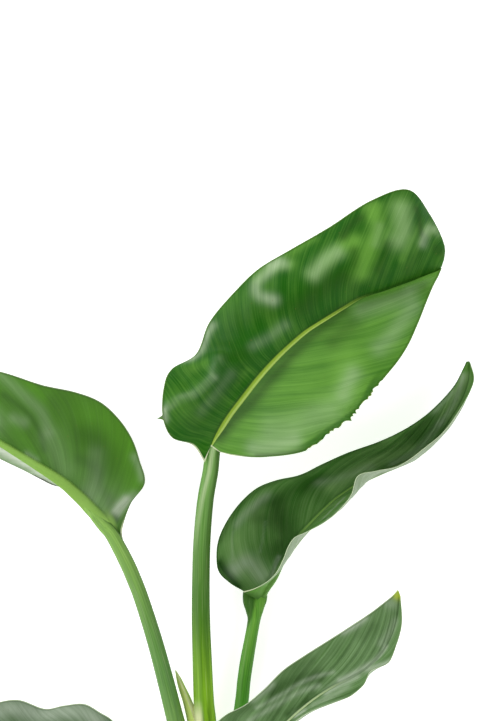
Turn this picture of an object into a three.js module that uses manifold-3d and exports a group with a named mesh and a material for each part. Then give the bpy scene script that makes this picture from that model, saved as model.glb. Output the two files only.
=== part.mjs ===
// The leafy shoot of a bird of paradise plant, cut through its base and laid on a flat surface.
// Five leaves and one rolled young leaf nest in each other's sheaths at the cut end. Every leaf
// is a stalk and a blade, and every blade is a thin folded sheet with a midrib on its lower face.
// Units are millimetres. +X is to the right, +Y runs from the cut end to the leaf tips, and +Z is
// up. The origin is under the cut end, in the middle of the flat spot that it rests on.
import * as THREE from "three";
import { mergeVertices } from "three/addons/utils/BufferGeometryUtils.js";
import Module from "manifold-3d";

const wasm = await Module();
wasm.setup();

// Driving dimensions. A midrib rises a little above the upper face, starts inside the end of its
// stalk, and fades out just before the blade's tip.
const BLADE_THICKNESS = 0.9;
const CLEARANCE = 0.3;
const RIB_RISE = 0.6;
const RIB_ROOT = 3;
const RIB_END = 0.94;
const RIB_TAPER = 0.9;
const REST_SPOT_Y = 14;
const TRIM_REACH = 900;

// Fineness of the faceted solids
const STALK_SIDES = 12;
const STALK_STEP = 20;
const RIB_SIDES = 6;
const BLADE_STEP = 12;
const BLADE_COLUMNS = 10;
const TEAR_STEPS = 14;

// How far a tangent looks to each side, in rows and in shares of a blade's half
const NUDGE = 0.04;

const COLOURS = {
  blade: 0x3c7a2a,
  stalk: 0x6c9f45,
  youngLeaf: 0x9dbb55,
};

// A row crosses a blade along one of its side veins: the midrib, the left and the right margin as
// seen from above, and how far the middle of each half bulges towards the upper face's side.
const row = (rib, left, right, bulgeLeft, bulgeRight) => ({
  rib,
  left,
  right,
  bulge: [bulgeLeft, bulgeRight, 0],
});

// A station of a stalk: its centre, then half its width and half its depth.
const station = (x, y, z, halfWidth, halfDepth = halfWidth) => ({
  centre: [x, y, z],
  half: [halfWidth, halfDepth, 0],
});

const LEAVES = [
  {
    // The tall middle leaf shows its upper face, and its right margin is torn.
    name: "middle",
    faceUp: 1,
    rows: [
      row([3.6, 425.5, 80.5], [-2, 409, 82], [13, 419.5, 83], 0, 0),
      row([11.2, 438.2, 82], [-14, 426.5, 83], [29, 416, 88], 1, 1),
      row([22.5, 456.5, 84], [-34.5, 434.5, 95], [58, 415, 98], 2, 2),
      row([36, 474.2, 86], [-43.3, 455.5, 106], [98, 421.5, 108], 2, 3),
      row([50.7, 492.8, 89], [-42.3, 484, 101], [129, 442, 114], 5, 3),
      row([65.7, 509.6, 91], [-34.5, 502, 90], [154, 460.5, 117], 9, 3),
      row([80.7, 524.2, 92], [-10.5, 517, 85], [169, 486, 117], 11, 3),
      row([98.8, 539.4, 93], [2.5, 548, 88], [187, 508, 116], 12, 3),
      row([116.8, 550.8, 93], [24, 574.5, 92], [199, 526.5, 114], 13, 3),
      row([134.7, 561.6, 92], [50.5, 600.5, 92], [209.5, 549.5, 110], 14, 3),
      row([153.5, 572.5, 90], [82.5, 620, 91], [217, 568, 105], 14, 3),
      row([175, 579, 88], [120.5, 642, 89], [224, 584, 99], 14, 2),
      row([195, 586, 84], [162.5, 669, 85], [229, 593, 92], 12, 1),
      row([211, 591.5, 80], [200, 680.5, 79], [231.5, 598, 85], 9, 1),
      row([224, 596.5, 76], [222, 656.5, 71], [233, 601, 79], 5, 0),
      row([230, 599.5, 74], [237, 625, 69], [233.5, 602, 75.5], 2, 0),
      row([233, 603, 72], [234.5, 605, 71], [233.8, 602.2, 72], 0, 0),
    ],
    tear: { from: 3.1, to: 6.3, depth: 4.5, teeth: 8 },
    ribRadius: [7.3, 1],
    stalk: [
      station(2, -6, 20, 9),
      station(2.5, 40, 21, 10),
      station(2.5, 80, 24, 11.2),
      station(0.5, 115, 27, 11.4),
      station(-2, 148, 31, 11),
      station(-3.5, 168.5, 33.5, 10.3),
      station(-5, 209.5, 40, 9.8),
      station(-6.2, 250, 46, 9.3),
      station(-6.2, 290.5, 52, 8.9),
      station(-5, 331, 58, 8.6),
      station(-1.5, 371, 65, 8.2),
      station(3.6, 400, 71, 7.9),
      station(6.4, 423, 74, 7.5),
    ],
  },
  {
    // The right leaf is folded along its midrib, and its keel lies on the surface.
    name: "right",
    faceUp: 1,
    rows: [
      row([50, 268, 21.5], [36, 278.5, 31], [36, 277.5, 32], 0, 0),
      row([58.2, 280.5, 16], [23.5, 286, 34], [47, 280.8, 38], -3, -1),
      row([65.8, 294.5, 12], [12, 297.5, 38], [59, 287.5, 45], -6, -2),
      row([73, 308, 9.5], [9.5, 312.5, 43], [69, 297.5, 52], -9, -3),
      row([83.5, 320.5, 8.3], [11.5, 330.5, 47], [76, 311, 58], -11, -4),
      row([94, 333.5, 7.5], [20, 349.5, 50], [81, 324, 62], -12, -4),
      row([105, 345, 6.8], [33, 367.5, 52], [87.5, 333.5, 64], -12, -4),
      row([117, 357.5, 6.2], [50, 382.5, 52], [100, 339.5, 64], -11, -3),
      row([130.5, 370, 5.7], [70, 390.5, 50], [116, 348, 63], -9, -3),
      row([144.5, 380, 5.3], [93, 395.5, 47], [131, 360, 62], -7, -3),
      row([158, 389, 5.1], [115, 406, 44], [144, 376, 60], -5, -3),
      row([178, 398, 5], [142, 418, 42], [151, 395, 58], -4, -3),
      row([200, 407, 6], [170.5, 428, 41], [170, 400, 56], -3, -3),
      row([218.5, 418, 9], [195.5, 439.5, 40], [193, 405.5, 55], -3, -3),
      row([234.5, 433.5, 14], [218, 454, 40], [217.5, 422.5, 53], -3, -3),
      row([247.5, 453.5, 20], [235.5, 470, 40], [238.5, 440.5, 50], -2, -3),
      row([258, 472.5, 26], [249, 486, 40], [257, 467, 46], -2, -2),
      row([263.5, 492, 31], [257.5, 502, 39], [268, 490, 41], -1, -1),
      row([263.5, 509.5, 35], [261, 509.5, 36], [265, 508, 36], 0, 0),
    ],
    ribRadius: [4.6, 0.7],
    stalk: [
      station(6.5, -6, 20, 11.5, 12),
      station(10, 30, 20, 11.5, 12),
      station(15, 65, 20, 10, 10.5),
      station(21, 98, 20, 8.5, 8.8),
      station(26.5, 125, 20, 7.4),
      station(31.5, 147, 19.5, 6.8),
      station(35, 167, 19, 6.9),
      station(37, 187, 19, 6.8),
      station(40, 207.5, 18.5, 6.8),
      station(43.6, 227.5, 18, 6.4, 6.8),
      station(47, 247, 18, 6.5, 6.8),
      station(47.6, 257, 18.5, 8.9, 7),
      station(47.8, 267, 19, 11.5, 7.4),
    ],
  },
  {
    // The left leaf shows its lower face, and its far half stands on the surface by its margin.
    name: "left",
    faceUp: -1,
    rows: [
      row([-91.3, 337.5, 76], [-86.5, 331, 68], [-83.5, 330.5, 73], 0, 0),
      row([-97, 344.6, 77], [-88.5, 342, 58], [-84, 343.5, 77], 1, 1),
      row([-102, 351, 77.5], [-89, 353, 47], [-75.5, 368.5, 80], 2, -1),
      row([-108, 357.6, 78.5], [-91, 364, 38], [-61.5, 389, 86], 3, -3),
      row([-114.8, 364.8, 79.5], [-96, 372, 31], [-66.5, 411.5, 90], 4, -4),
      row([-122, 372.4, 80], [-106, 377, 25], [-74, 433, 91], 4, -5),
      row([-130.4, 380, 81], [-119, 380, 19], [-87.5, 453, 90], 4, -6),
      row([-139, 387.5, 82], [-137, 382, 13], [-106, 469.5, 87], 4, -6),
      row([-149.5, 395, 82], [-155, 383.5, 8], [-130.5, 479, 83], 4, -6),
      row([-161, 402.5, 81], [-169.5, 390, 4], [-163.5, 486, 79], 4, -6),
      row([-175, 411.5, 79], [-186, 398.5, 1.5], [-199, 497.5, 74], 4, -6),
      row([-192, 422, 76], [-207, 408.5, 0.6], [-232, 505, 68], 4, -6),
      row([-211, 433.5, 72], [-231, 421, 4], [-264, 508, 61], 3, -5),
      row([-233, 445.5, 66], [-257, 435, 12], [-293, 504, 54], 3, -4),
      row([-259, 458.5, 58], [-286, 452, 22], [-315, 496, 48], 2, -3),
      row([-291, 472.5, 49], [-313, 469, 32], [-329, 489, 42], 1, -1),
      row([-325, 484, 40], [-329, 483, 38.5], [-332, 486.5, 39.5], 0, 0),
    ],
    ribRadius: [6, 0.9],
    stalk: [
      station(-2, -6, 20, 15),
      station(-5, 30, 20, 14.5),
      station(-11, 66, 21, 12),
      station(-20, 105, 24.5, 10.2),
      station(-26, 127, 29, 9.4),
      station(-32, 148.5, 33.5, 8.9),
      station(-42, 189.5, 43, 8.4),
      station(-52.7, 230.5, 52.5, 7.9),
      station(-65, 271, 62, 7.5),
      station(-72.5, 291.5, 67, 7.5),
      station(-80.8, 311, 72, 7.4),
      station(-94.2, 336.6, 77, 6.9),
    ],
  },
  {
    // The lower right leaf crosses above the right leaf's stalk.
    name: "lower_right",
    faceUp: 1,
    rows: [
      row([31, 95, 46], [25, 90, 47], [36, 91, 48], 0, 0),
      row([39, 106, 48], [12, 106, 52], [47, 103, 58], -1, -1),
      row([49, 117, 50], [6, 127, 57], [59, 116, 68], -2, -1),
      row([60, 128, 52], [7, 144, 61], [70, 129, 77], -3, -2),
      row([72, 140, 54], [18, 156, 63], [79.5, 143.5, 84], -3, -2),
      row([84, 152, 56], [38, 166.5, 63], [91, 155, 89], -3, -3),
      row([97, 163.5, 57], [57, 182, 61], [107, 164.5, 93], -3, -3),
      row([112, 175, 58], [75.5, 200.5, 60], [124.5, 171, 95], -3, -3),
      row([128, 185, 58], [98, 216, 60], [142.5, 178.3, 94], -3, -3),
      row([145, 193, 57], [121, 230.5, 60], [155.5, 189, 91], -3, -3),
      row([161, 203, 55], [143, 244.5, 59], [163, 202.5, 87], -3, -3),
      row([175, 217, 52], [163, 257.5, 56], [180, 209.5, 80], -2, -2),
      row([185, 234, 49], [178, 268.5, 52], [188, 224, 70], -1, -1),
      row([191.5, 256, 46], [186.5, 275, 47], [195, 247, 58], 0, 0),
      row([193, 277.5, 43], [191.6, 280.2, 43], [194.4, 273.5, 44.5], 0, 0),
    ],
    ribRadius: [3.8, 0.6],
    stalk: [
      station(7, -6, 20, 20, 18.2),
      station(12, 28, 22, 16.5, 16),
      station(18, 55, 27, 11, 11.5),
      station(24, 76, 34, 7.2, 7.4),
      station(30.5, 95, 40.5, 5.8),
    ],
  },
  {
    // The lower left leaf is the outermost, and its sheath carries the flat spot at the cut end.
    name: "lower_left",
    faceUp: 1,
    rows: [
      row([-73, 91, 38], [-78, 85, 40], [-68, 97, 39], 0, 0),
      row([-87, 106, 42], [-101, 88, 52], [-79, 129, 48], -1, 1),
      row([-103, 114, 45], [-123, 83, 62], [-94, 149.5, 55], -2, 2),
      row([-121, 120, 47], [-147, 79, 68], [-107, 158.5, 58], -3, 3),
      row([-141, 124, 48], [-171, 76, 70], [-123, 167, 58], -3, 3),
      row([-163, 126, 48], [-195, 74, 70], [-143, 165, 54], -3, 3),
      row([-187, 125, 46], [-219, 72, 66], [-163, 161.5, 51], -3, 3),
      row([-211, 122, 42], [-243, 71, 60], [-190, 171, 57], -3, 4),
      row([-237, 116, 37], [-265, 70, 51], [-219, 165, 54], -3, 3),
      row([-263, 108, 31], [-285, 71, 40], [-253, 149, 45], -2, 2),
      row([-287, 98, 24], [-301, 75, 30], [-283, 126, 33], -1, 1),
      row([-309, 86, 18], [-312, 81, 19], [-309, 92, 20], 0, 0),
    ],
    ribRadius: [5.6, 0.7],
    stalk: [
      station(0, -6, 20, 24, 21.2),
      station(0, 23, 20, 22.5, 21),
      station(-15, 47, 22, 15, 15),
      station(-38, 66, 26, 8.5, 9),
      station(-56, 80, 31, 6.4, 6.6),
      station(-73, 91.5, 34.5, 5.8),
    ],
  },
];

// The rolled young leaf comes out of the middle leaf's sheath.
const YOUNG_LEAF = [
  station(-1, -6, 23, 5.5),
  station(-1, 50, 25, 7, 6.5),
  station(-3.5, 96, 27, 8.5, 7),
  station(-9, 127, 27.5, 7.6, 6.5),
  station(-15, 151, 28, 6, 5.5),
  station(-20.8, 169, 29.5, 4.5),
  station(-25, 179.5, 31, 3.7),
  station(-28.6, 189.5, 32.5, 2.5),
  station(-32, 198.5, 34, 0.5),
];

const vector = (list) => new THREE.Vector3(...list);

// A smooth curve through points, read by how many of them it has passed.
function curveThrough(points) {
  const curve = new THREE.CatmullRomCurve3(points.map(vector), false, "catmullrom");
  return (passed) => curve.getPoint(passed / (points.length - 1));
}

// A mesh from points and the triangles between them.
function geometryOf(points, faces) {
  const positions = new Float32Array(points.flatMap((p) => [p.x, p.y, p.z]));
  const geometry = new THREE.BufferGeometry();
  geometry.setAttribute("position", new THREE.BufferAttribute(positions, 3));
  geometry.setIndex(faces);
  return geometry;
}

// A closed mesh as a solid that can be joined and cut, and the other way round.
function solidOf(geometry) {
  const mesh = new wasm.Mesh({
    numProp: 3,
    vertProperties: geometry.attributes.position.array,
    triVerts: new Uint32Array(geometry.index.array),
  });
  return new wasm.Manifold(mesh);
}

function geometryOfSolid(solid) {
  const mesh = solid.getMesh();
  const geometry = new THREE.BufferGeometry();
  geometry.setAttribute("position", new THREE.BufferAttribute(mesh.vertProperties, 3));
  geometry.setIndex(new THREE.BufferAttribute(mesh.triVerts, 1));
  return geometry;
}

// The largest piece of a solid: scraps that a cut leaves loose are dropped.
function largest(solid) {
  const pieces = solid.decompose();
  return pieces.reduce((best, piece) => (piece.volume() > best.volume() ? piece : best));
}

// A closed tube through rings of points, with a fan on each end.
function tubeSolid(rings) {
  const sides = rings[0].length;
  const points = rings.flat();
  const faces = [];
  rings.slice(1).forEach((_, i) => {
    for (let k = 0; k < sides; k++) {
      const next = (k + 1) % sides;
      const [a, b] = [i * sides + k, i * sides + next];
      faces.push(a, b, b + sides, a, b + sides, a + sides);
    }
  });
  const last = (rings.length - 1) * sides;
  for (let k = 1; k < sides - 1; k++) {
    faces.push(0, k + 1, k);
    faces.push(last, last + k, last + k + 1);
  }
  return solidOf(geometryOf(points, faces));
}

// One ring round a centre, across a direction, with its depth along a facing direction.
function ring(centre, along, facing, half, sides) {
  const depth = facing.clone().addScaledVector(along, -facing.dot(along)).normalize();
  const across = new THREE.Vector3().crossVectors(along, depth);
  return Array.from({ length: sides }, (_, k) => {
    const angle = ((k + 0.5) / sides) * 2 * Math.PI;
    return centre
      .clone()
      .addScaledVector(across, Math.sin(angle) * half.x)
      .addScaledVector(depth, Math.cos(angle) * half.y);
  });
}

// A stalk through its stations, swollen all round by a margin. It runs on past its end by it.
function stalkSolid(stations, swell) {
  const centre = curveThrough(stations.map((s) => s.centre));
  const half = curveThrough(stations.map((s) => s.half));
  const spans = stations.length - 1;
  const length = Array.from({ length: spans }, (_, i) =>
    centre(i).distanceTo(centre(i + 1)),
  ).reduce((a, b) => a + b);
  const steps = Math.max(spans, Math.round(length / STALK_STEP));
  const up = new THREE.Vector3(0, 0, 1);
  const rings = Array.from({ length: steps + 1 }, (_, i) => {
    const at = (i / steps) * spans;
    const ahead = centre(Math.min(at + NUDGE, spans));
    const along = ahead.sub(centre(Math.max(at - NUDGE, 0))).normalize();
    const end = i === steps ? swell : 0;
    const size = half(at).addScalar(swell);
    return ring(centre(at).addScaledVector(along, end), along, up, size, STALK_SIDES);
  });
  return tubeSolid(rings);
}

// The blade's middle surface: how far along its rows, and how far across, from -1 to 1.
function bladeSurface({ rows, faceUp, tear }) {
  const rib = curveThrough(rows.map((r) => r.rib));
  const left = curveThrough(rows.map((r) => r.left));
  const right = curveThrough(rows.map((r) => r.right));
  const bulge = curveThrough(rows.map((r) => r.bulge));
  const end = rows.length - 1;
  const direction = (at) =>
    rib(Math.min(at + NUDGE, end)).sub(rib(Math.max(at - NUDGE, 0))).normalize();
  // Teeth torn out of the right margin, as a share of that half's width.
  const torn = (at, width) => {
    if (!tear || at < tear.from || at > tear.to) return 0;
    const through = (at - tear.from) / (tear.to - tear.from);
    const tooth = Math.abs(Math.sin(through * Math.PI * tear.teeth));
    return (tear.depth * tooth * Math.sin(through * Math.PI)) / width;
  };
  const point = (at, across) => {
    const middle = rib(at);
    const margin = across < 0 ? left(at) : right(at);
    const reach = margin.clone().sub(middle);
    const side = Math.sign(across) || 1;
    const share = Math.abs(across) * (side > 0 ? 1 - torn(at, reach.length()) : 1);
    const normal = new THREE.Vector3().crossVectors(reach, direction(at));
    normal.multiplyScalar(side).normalize();
    const rise = bulge(at).getComponent(side < 0 ? 0 : 1) * 4 * share * (1 - share);
    return middle.addScaledVector(reach, share).addScaledVector(normal, rise * faceUp);
  };
  // The way that the upper face looks at the midrib, between its two halves.
  const facing = (at) => {
    const along = direction(at);
    const toLeft = point(at, -NUDGE).sub(rib(at)).normalize();
    const toRight = point(at, NUDGE).sub(rib(at)).normalize();
    const normal = new THREE.Vector3().crossVectors(toRight.sub(toLeft), along);
    return normal.normalize().multiplyScalar(faceUp);
  };
  return { point, rib, direction, facing, end };
}

// How thick the midrib is, from the stalk's radius down to a fine tip.
function ribRadius({ ribRadius: [base, tip] }, share) {
  return tip + (base - tip) * (1 - share) ** RIB_TAPER;
}

// The midrib's centre, which hangs below the lower face.
function ribCentre(leaf, surface, at) {
  const radius = ribRadius(leaf, at / surface.end);
  return surface.rib(at).addScaledVector(surface.facing(at), RIB_RISE - radius);
}

// The midrib: a tapering round bar along the blade.
function ribSolid(leaf, surface, stops) {
  const rings = stops
    .filter((at) => at <= RIB_END * surface.end)
    .map((at) => {
      const radius = ribRadius(leaf, at / surface.end);
      const size = new THREE.Vector3(radius, radius, 0);
      const along = surface.direction(at);
      const centre = ribCentre(leaf, surface, at).addScaledVector(along, at === 0 ? -RIB_ROOT : 0);
      return ring(centre, along, surface.facing(at), size, RIB_SIDES);
    });
  return tubeSolid(rings);
}

// Where the solid's rows stand along a blade. They stand closer where its margin is torn.
function bladeStops({ rows, tear }, surface) {
  const span = (i) => surface.rib(i).distanceTo(surface.rib(i + 1));
  const length = rows.slice(1).reduce((sum, _, i) => sum + span(i), 0);
  const count = Math.round(length / BLADE_STEP);
  const even = Array.from({ length: count + 1 }, (_, i) => (i / count) * surface.end);
  if (!tear) return even;
  const close = Array.from(
    { length: TEAR_STEPS + 1 },
    (_, i) => tear.from + (i / TEAR_STEPS) * (tear.to - tear.from),
  );
  const apart = even.filter((at) => at < tear.from - NUDGE || at > tear.to + NUDGE);
  return [...apart, ...close].sort((a, b) => a - b);
}

// The sheet itself: the middle surface moved half the thickness each way, and closed all round.
function sheetSolid(surface, stops) {
  const points = [];
  const width = BLADE_COLUMNS + 1;
  for (const here of stops) {
    for (let j = 0; j < width; j++) {
      const side = (2 * j) / BLADE_COLUMNS - 1;
      const forward = surface.point(Math.min(here + NUDGE, surface.end), side);
      const alongWay = forward.sub(surface.point(Math.max(here - NUDGE, 0), side));
      const outward = surface.point(here, Math.min(side + NUDGE, 1));
      const acrossWay = outward.sub(surface.point(here, Math.max(side - NUDGE, -1)));
      const normal = new THREE.Vector3().crossVectors(acrossWay, alongWay).normalize();
      const middle = surface.point(here, side);
      points.push(middle.clone().addScaledVector(normal, BLADE_THICKNESS / 2));
      points.push(middle.addScaledVector(normal, -BLADE_THICKNESS / 2));
    }
  }
  const faces = [];
  const corner = (i, j, under) => 2 * (i * width + j) + under;
  const quad = (a, b, c, d) => faces.push(a, b, c, a, c, d);
  const far = stops.length - 1;
  const edge = BLADE_COLUMNS;
  for (let i = 0; i < far; i++) {
    for (let j = 0; j < edge; j++) {
      const [a, b] = [corner(i, j, 0), corner(i, j + 1, 0)];
      const [c, d] = [corner(i + 1, j + 1, 0), corner(i + 1, j, 0)];
      quad(a, b, c, d);
      faces.push(a + 1, c + 1, b + 1, a + 1, d + 1, c + 1);
    }
    quad(corner(i, 0, 1), corner(i, 0, 0), corner(i + 1, 0, 0), corner(i + 1, 0, 1));
    quad(corner(i, edge, 0), corner(i, edge, 1), corner(i + 1, edge, 1), corner(i + 1, edge, 0));
  }
  for (let j = 0; j < edge; j++) {
    quad(corner(0, j, 1), corner(0, j + 1, 1), corner(0, j + 1, 0), corner(0, j, 0));
    quad(corner(far, j, 0), corner(far, j + 1, 0), corner(far, j + 1, 1), corner(far, j, 1));
  }
  return solidOf(geometryOf(points, faces));
}

// What lies above the surface and in front of the knife that cut the shoot.
function keptSpace() {
  const box = new THREE.BoxGeometry(2 * TRIM_REACH, TRIM_REACH, TRIM_REACH);
  box.translate(0, TRIM_REACH / 2, TRIM_REACH / 2);
  box.deleteAttribute("normal");
  box.deleteAttribute("uv");
  return solidOf(mergeVertices(box));
}

// A named mesh with its own material: blades shine a little more than stalks.
function meshOf(name, solid, colour) {
  const roughness = colour === COLOURS.blade ? 0.35 : 0.45;
  const material = new THREE.MeshStandardMaterial({ color: colour, roughness, metalness: 0 });
  const mesh = new THREE.Mesh(geometryOfSolid(solid), material);
  mesh.name = name;
  return mesh;
}

function buildShoot() {
  const shoot = new THREE.Group();
  const kept = keptSpace();
  const young = stalkSolid(YOUNG_LEAF, 0);
  shoot.add(meshOf("young_leaf", largest(young.intersect(kept)), COLOURS.youngLeaf));
  // Each leaf's sheath wraps what grew inside it, so the leaves come from the inside out.
  let inner = stalkSolid(YOUNG_LEAF, CLEARANCE);
  for (const leaf of LEAVES) {
    const surface = bladeSurface(leaf);
    const stalk = stalkSolid(leaf.stalk, 0).subtract(inner).intersect(kept);
    shoot.add(meshOf(leaf.name + "_stalk", largest(stalk), COLOURS.stalk));
    const swollen = stalkSolid(leaf.stalk, CLEARANCE);
    inner = inner.add(swollen);
    const stops = bladeStops(leaf, surface);
    const rib = ribSolid(leaf, surface, stops);
    const blade = sheetSolid(surface, stops).add(rib).subtract(swollen);
    shoot.add(meshOf(leaf.name + "_blade", largest(blade.intersect(kept)), COLOURS.blade));
  }
  shoot.position.y = -REST_SPOT_Y;
  return shoot;
}

export default buildShoot();
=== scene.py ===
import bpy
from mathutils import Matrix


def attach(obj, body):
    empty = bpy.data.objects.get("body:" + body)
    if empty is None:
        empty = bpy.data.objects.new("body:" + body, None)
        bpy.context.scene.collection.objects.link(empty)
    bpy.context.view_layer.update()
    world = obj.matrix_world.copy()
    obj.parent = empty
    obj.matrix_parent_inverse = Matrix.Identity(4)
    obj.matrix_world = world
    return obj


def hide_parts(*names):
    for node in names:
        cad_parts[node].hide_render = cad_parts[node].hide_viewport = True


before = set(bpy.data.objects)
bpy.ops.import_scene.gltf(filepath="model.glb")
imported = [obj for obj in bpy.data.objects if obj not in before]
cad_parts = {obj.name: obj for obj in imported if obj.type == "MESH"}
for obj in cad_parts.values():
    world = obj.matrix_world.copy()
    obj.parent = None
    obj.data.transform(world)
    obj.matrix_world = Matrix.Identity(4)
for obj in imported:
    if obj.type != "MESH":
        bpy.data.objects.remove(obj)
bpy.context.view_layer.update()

import math

import bmesh
import bpy
import numpy as np
from mathutils import Vector
from mathutils.bvhtree import BVHTree

# The rolled young leaf is the shoot's next leaf, still wound up into a soft pale spear. One edge
# laps over the other down its front, and its foot sits in the middle leaf's sheath. Places here
# and below are millimetres, +Y towards the leaf tips, measured from the knife's cut.
MM = 0.001
REST_SPOT_Y = 14
NUDGE = 0.04
LENGTH_STEPS = 400
STALK_SIDES = 44
RING_STEP = 3
STALK_CREASE = 38
KNIFE_REACH = 900
KNIFE_SLACK = 0.02
KNIFE_FACING = 0.98
GROWTH_GAP = 0.08
FAR_FROM_LIP = 99
YOUNG_RIND = 2
LAP = 0.13
LAP_TURN = 0.3
MIRROR = 0.12
# Each station of a stalk: the place of its centre, and half its width and depth there.
YOUNG_LEAF = [
    (-1, -6, 23, 5.5, 5.5),
    (-1, 50, 25, 7, 6.5),
    (-3.5, 96, 27, 8.5, 7),
    (-9, 127, 27.5, 7.6, 6.5),
    (-15, 151, 28, 6, 5.5),
    (-20.8, 169, 29.5, 4.5, 4.5),
    (-25, 179.5, 31, 3.7, 3.7),
    (-28.6, 189.5, 32.5, 2.5, 2.5),
    (-32, 198.5, 34, 0.5, 0.5),
]


def unit(vectors):
    return vectors / np.maximum(np.linalg.norm(vectors, axis=-1, keepdims=True), 1e-9)


def ease(low, high, values):
    """A soft step from 0 at low to 1 at high."""
    t = np.clip((np.asarray(values, float) - low) / (high - low), 0, 1)
    return t * t * (3 - 2 * t)


def path_through(points):
    """A smooth path through points, read by how many of them it has passed."""
    points = np.array(points, float)
    knots = np.vstack([2 * points[0] - points[1], points, 2 * points[-1] - points[-2]])

    def at(passed):
        passed = np.asarray(passed, float)
        i = np.clip(passed.astype(int), 0, len(points) - 2)
        t = (passed - i)[..., None]
        a, b, c, d = (knots[i + k] for k in range(4))
        bend = 2 * a - 5 * b + 4 * c - d
        return 0.5 * (2 * b + (c - a) * t + bend * t**2 + (3 * b - 3 * c + d - a) * t**3)

    return at


def way_along(path, passed, last):
    """The direction of a path at places along it."""
    return unit(path(np.minimum(passed + NUDGE, last)) - path(np.maximum(passed - NUDGE, 0)))


def lengths_along(path, last):
    """Places along a path, in points passed, and how far along it they are in millimetres."""
    passed = np.linspace(0, last, LENGTH_STEPS)
    return passed, np.r_[0, np.cumsum(np.linalg.norm(np.diff(path(passed), axis=0), axis=1))]


def stalk_frames(stations, passed):
    """Centres, the three directions of a stalk and its half sizes, at places along it."""
    stations = np.array(stations, float)
    centre = path_through(stations[:, :3])
    along = way_along(centre, passed, len(stations) - 1)
    depth = unit(np.array([0, 0, 1.0]) - along * along[:, 2:])
    return centre(passed), np.cross(along, depth), depth, along, path_through(stations[:, 3:])(passed)


def stalk_lengths(stations):
    return lengths_along(path_through(np.array(stations, float)[:, :3]), len(stations) - 1)


def stalk_skin(stations, swell=0.0, lap=0.0, shoulder=()):
    """Rings of points round a stalk, and the faces between them. Its end has a soft shoulder."""
    length = stalk_lengths(stations)[1][-1]
    passed = np.linspace(0, len(stations) - 1, int(length / RING_STEP) + 2)
    centre, across, depth, along, half = stalk_frames(stations, passed)
    for onward, slimmer in shoulder:
        centre = np.vstack([centre, centre[len(passed) - 1] + along[-1] * onward])
        half = np.vstack([half, half[len(passed) - 1] * slimmer])
        across, depth, along = (np.vstack([way, way[-1]]) for way in (across, depth, along))
    turn = np.linspace(0, 2 * np.pi, STALK_SIDES, endpoint=False)
    grown = (1 + lap * ((turn / (2 * np.pi)) - 0.5))[None, :, None]
    x = np.sin(turn + LAP_TURN)[None, :, None] * (half[:, None, :1] + swell) * grown
    y = np.cos(turn + LAP_TURN)[None, :, None] * (half[:, None, 1:] + swell) * grown
    points = centre[:, None] + across[:, None] * x + depth[:, None] * y
    rings, sides = points.shape[:2]
    faces = [tuple(range(sides))[::-1], tuple((rings - 1) * sides + k for k in range(sides))]
    for i in range(rings - 1):
        for k in range(sides):
            a, b = i * sides + k, i * sides + (k + 1) % sides
            faces.append((a, b, b + sides, a + sides))
    return points.reshape(-1, 3), faces


def new_piece(name, points, faces):
    mesh = bpy.data.meshes.new(name)
    placed = (np.asarray(points) - [0, REST_SPOT_Y, 0]) * MM
    mesh.from_pydata(placed.tolist(), [], faces)
    mesh.update()
    piece = bpy.data.objects.new(name, mesh)
    bpy.context.scene.collection.objects.link(piece)
    return piece


def places_of(piece):
    """The piece's points, back in millimetres from the cut."""
    found = np.zeros(len(piece.data.vertices) * 3)
    piece.data.vertices.foreach_get("co", found)
    return found.reshape(-1, 3) / MM + [0, REST_SPOT_Y, 0]


def largest_body(mesh):
    """Deletes every loose scrap of a mesh, up to its largest body."""
    body = bmesh.new()
    body.from_mesh(mesh)
    unseen = set(body.verts)
    bodies = []
    while unseen:
        front = [unseen.pop()]
        found = list(front)
        while front:
            for edge in front.pop().link_edges:
                for corner in unseen.intersection(edge.verts):
                    unseen.remove(corner)
                    front.append(corner)
                    found.append(corner)
        bodies.append(found)
    bodies.sort(key=len)
    bmesh.ops.delete(body, geom=[v for scrap in bodies[:-1] for v in scrap], context="VERTS")
    body.to_mesh(mesh)
    body.free()


def carve(piece, points, faces, operation):
    """Cuts the piece with a solid, and keeps the result's largest body."""
    tool = new_piece("tool", points, faces)
    cut = piece.modifiers.new("cut", "BOOLEAN")
    cut.operation = operation
    cut.solver = "MANIFOLD"
    cut.object = tool
    graph = bpy.context.evaluated_depsgraph_get()
    carved = bpy.data.meshes.new_from_object(piece.evaluated_get(graph))
    piece.modifiers.clear()
    largest_body(carved)
    old = piece.data
    piece.data = carved
    bpy.data.meshes.remove(old)
    carved.name = piece.name
    bpy.data.objects.remove(tool)


def trim(piece):
    """Leaves what lies above the surface and in front of the knife."""
    lows = np.array([-KNIFE_REACH, 0, 0])
    highs = np.array([KNIFE_REACH, 2 * KNIFE_REACH, KNIFE_REACH])
    corners = [np.where([k & 1, k & 2, k & 4], highs, lows) for k in range(8)]
    sides = [(0, 2, 3, 1), (4, 5, 7, 6), (0, 1, 5, 4), (2, 6, 7, 3), (0, 4, 6, 2), (1, 3, 7, 5)]
    carve(piece, corners, sides, "INTERSECT")


def write(piece, name, values):
    """Puts a number or a vector on each point, for the material to read."""
    values = np.asarray(values, float)
    kind, part = ("FLOAT_VECTOR", "vector") if values.ndim == 2 else ("FLOAT", "value")
    held = piece.data.attributes.new(name, kind, "POINT")
    held.data.foreach_set(part, values.ravel())


def gaps_to(points, faces, places):
    """How far each place lies from a skin."""
    skin = BVHTree.FromPolygons(points.tolist(), faces)
    return [skin.find_nearest(place)[3] for place in places]


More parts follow.
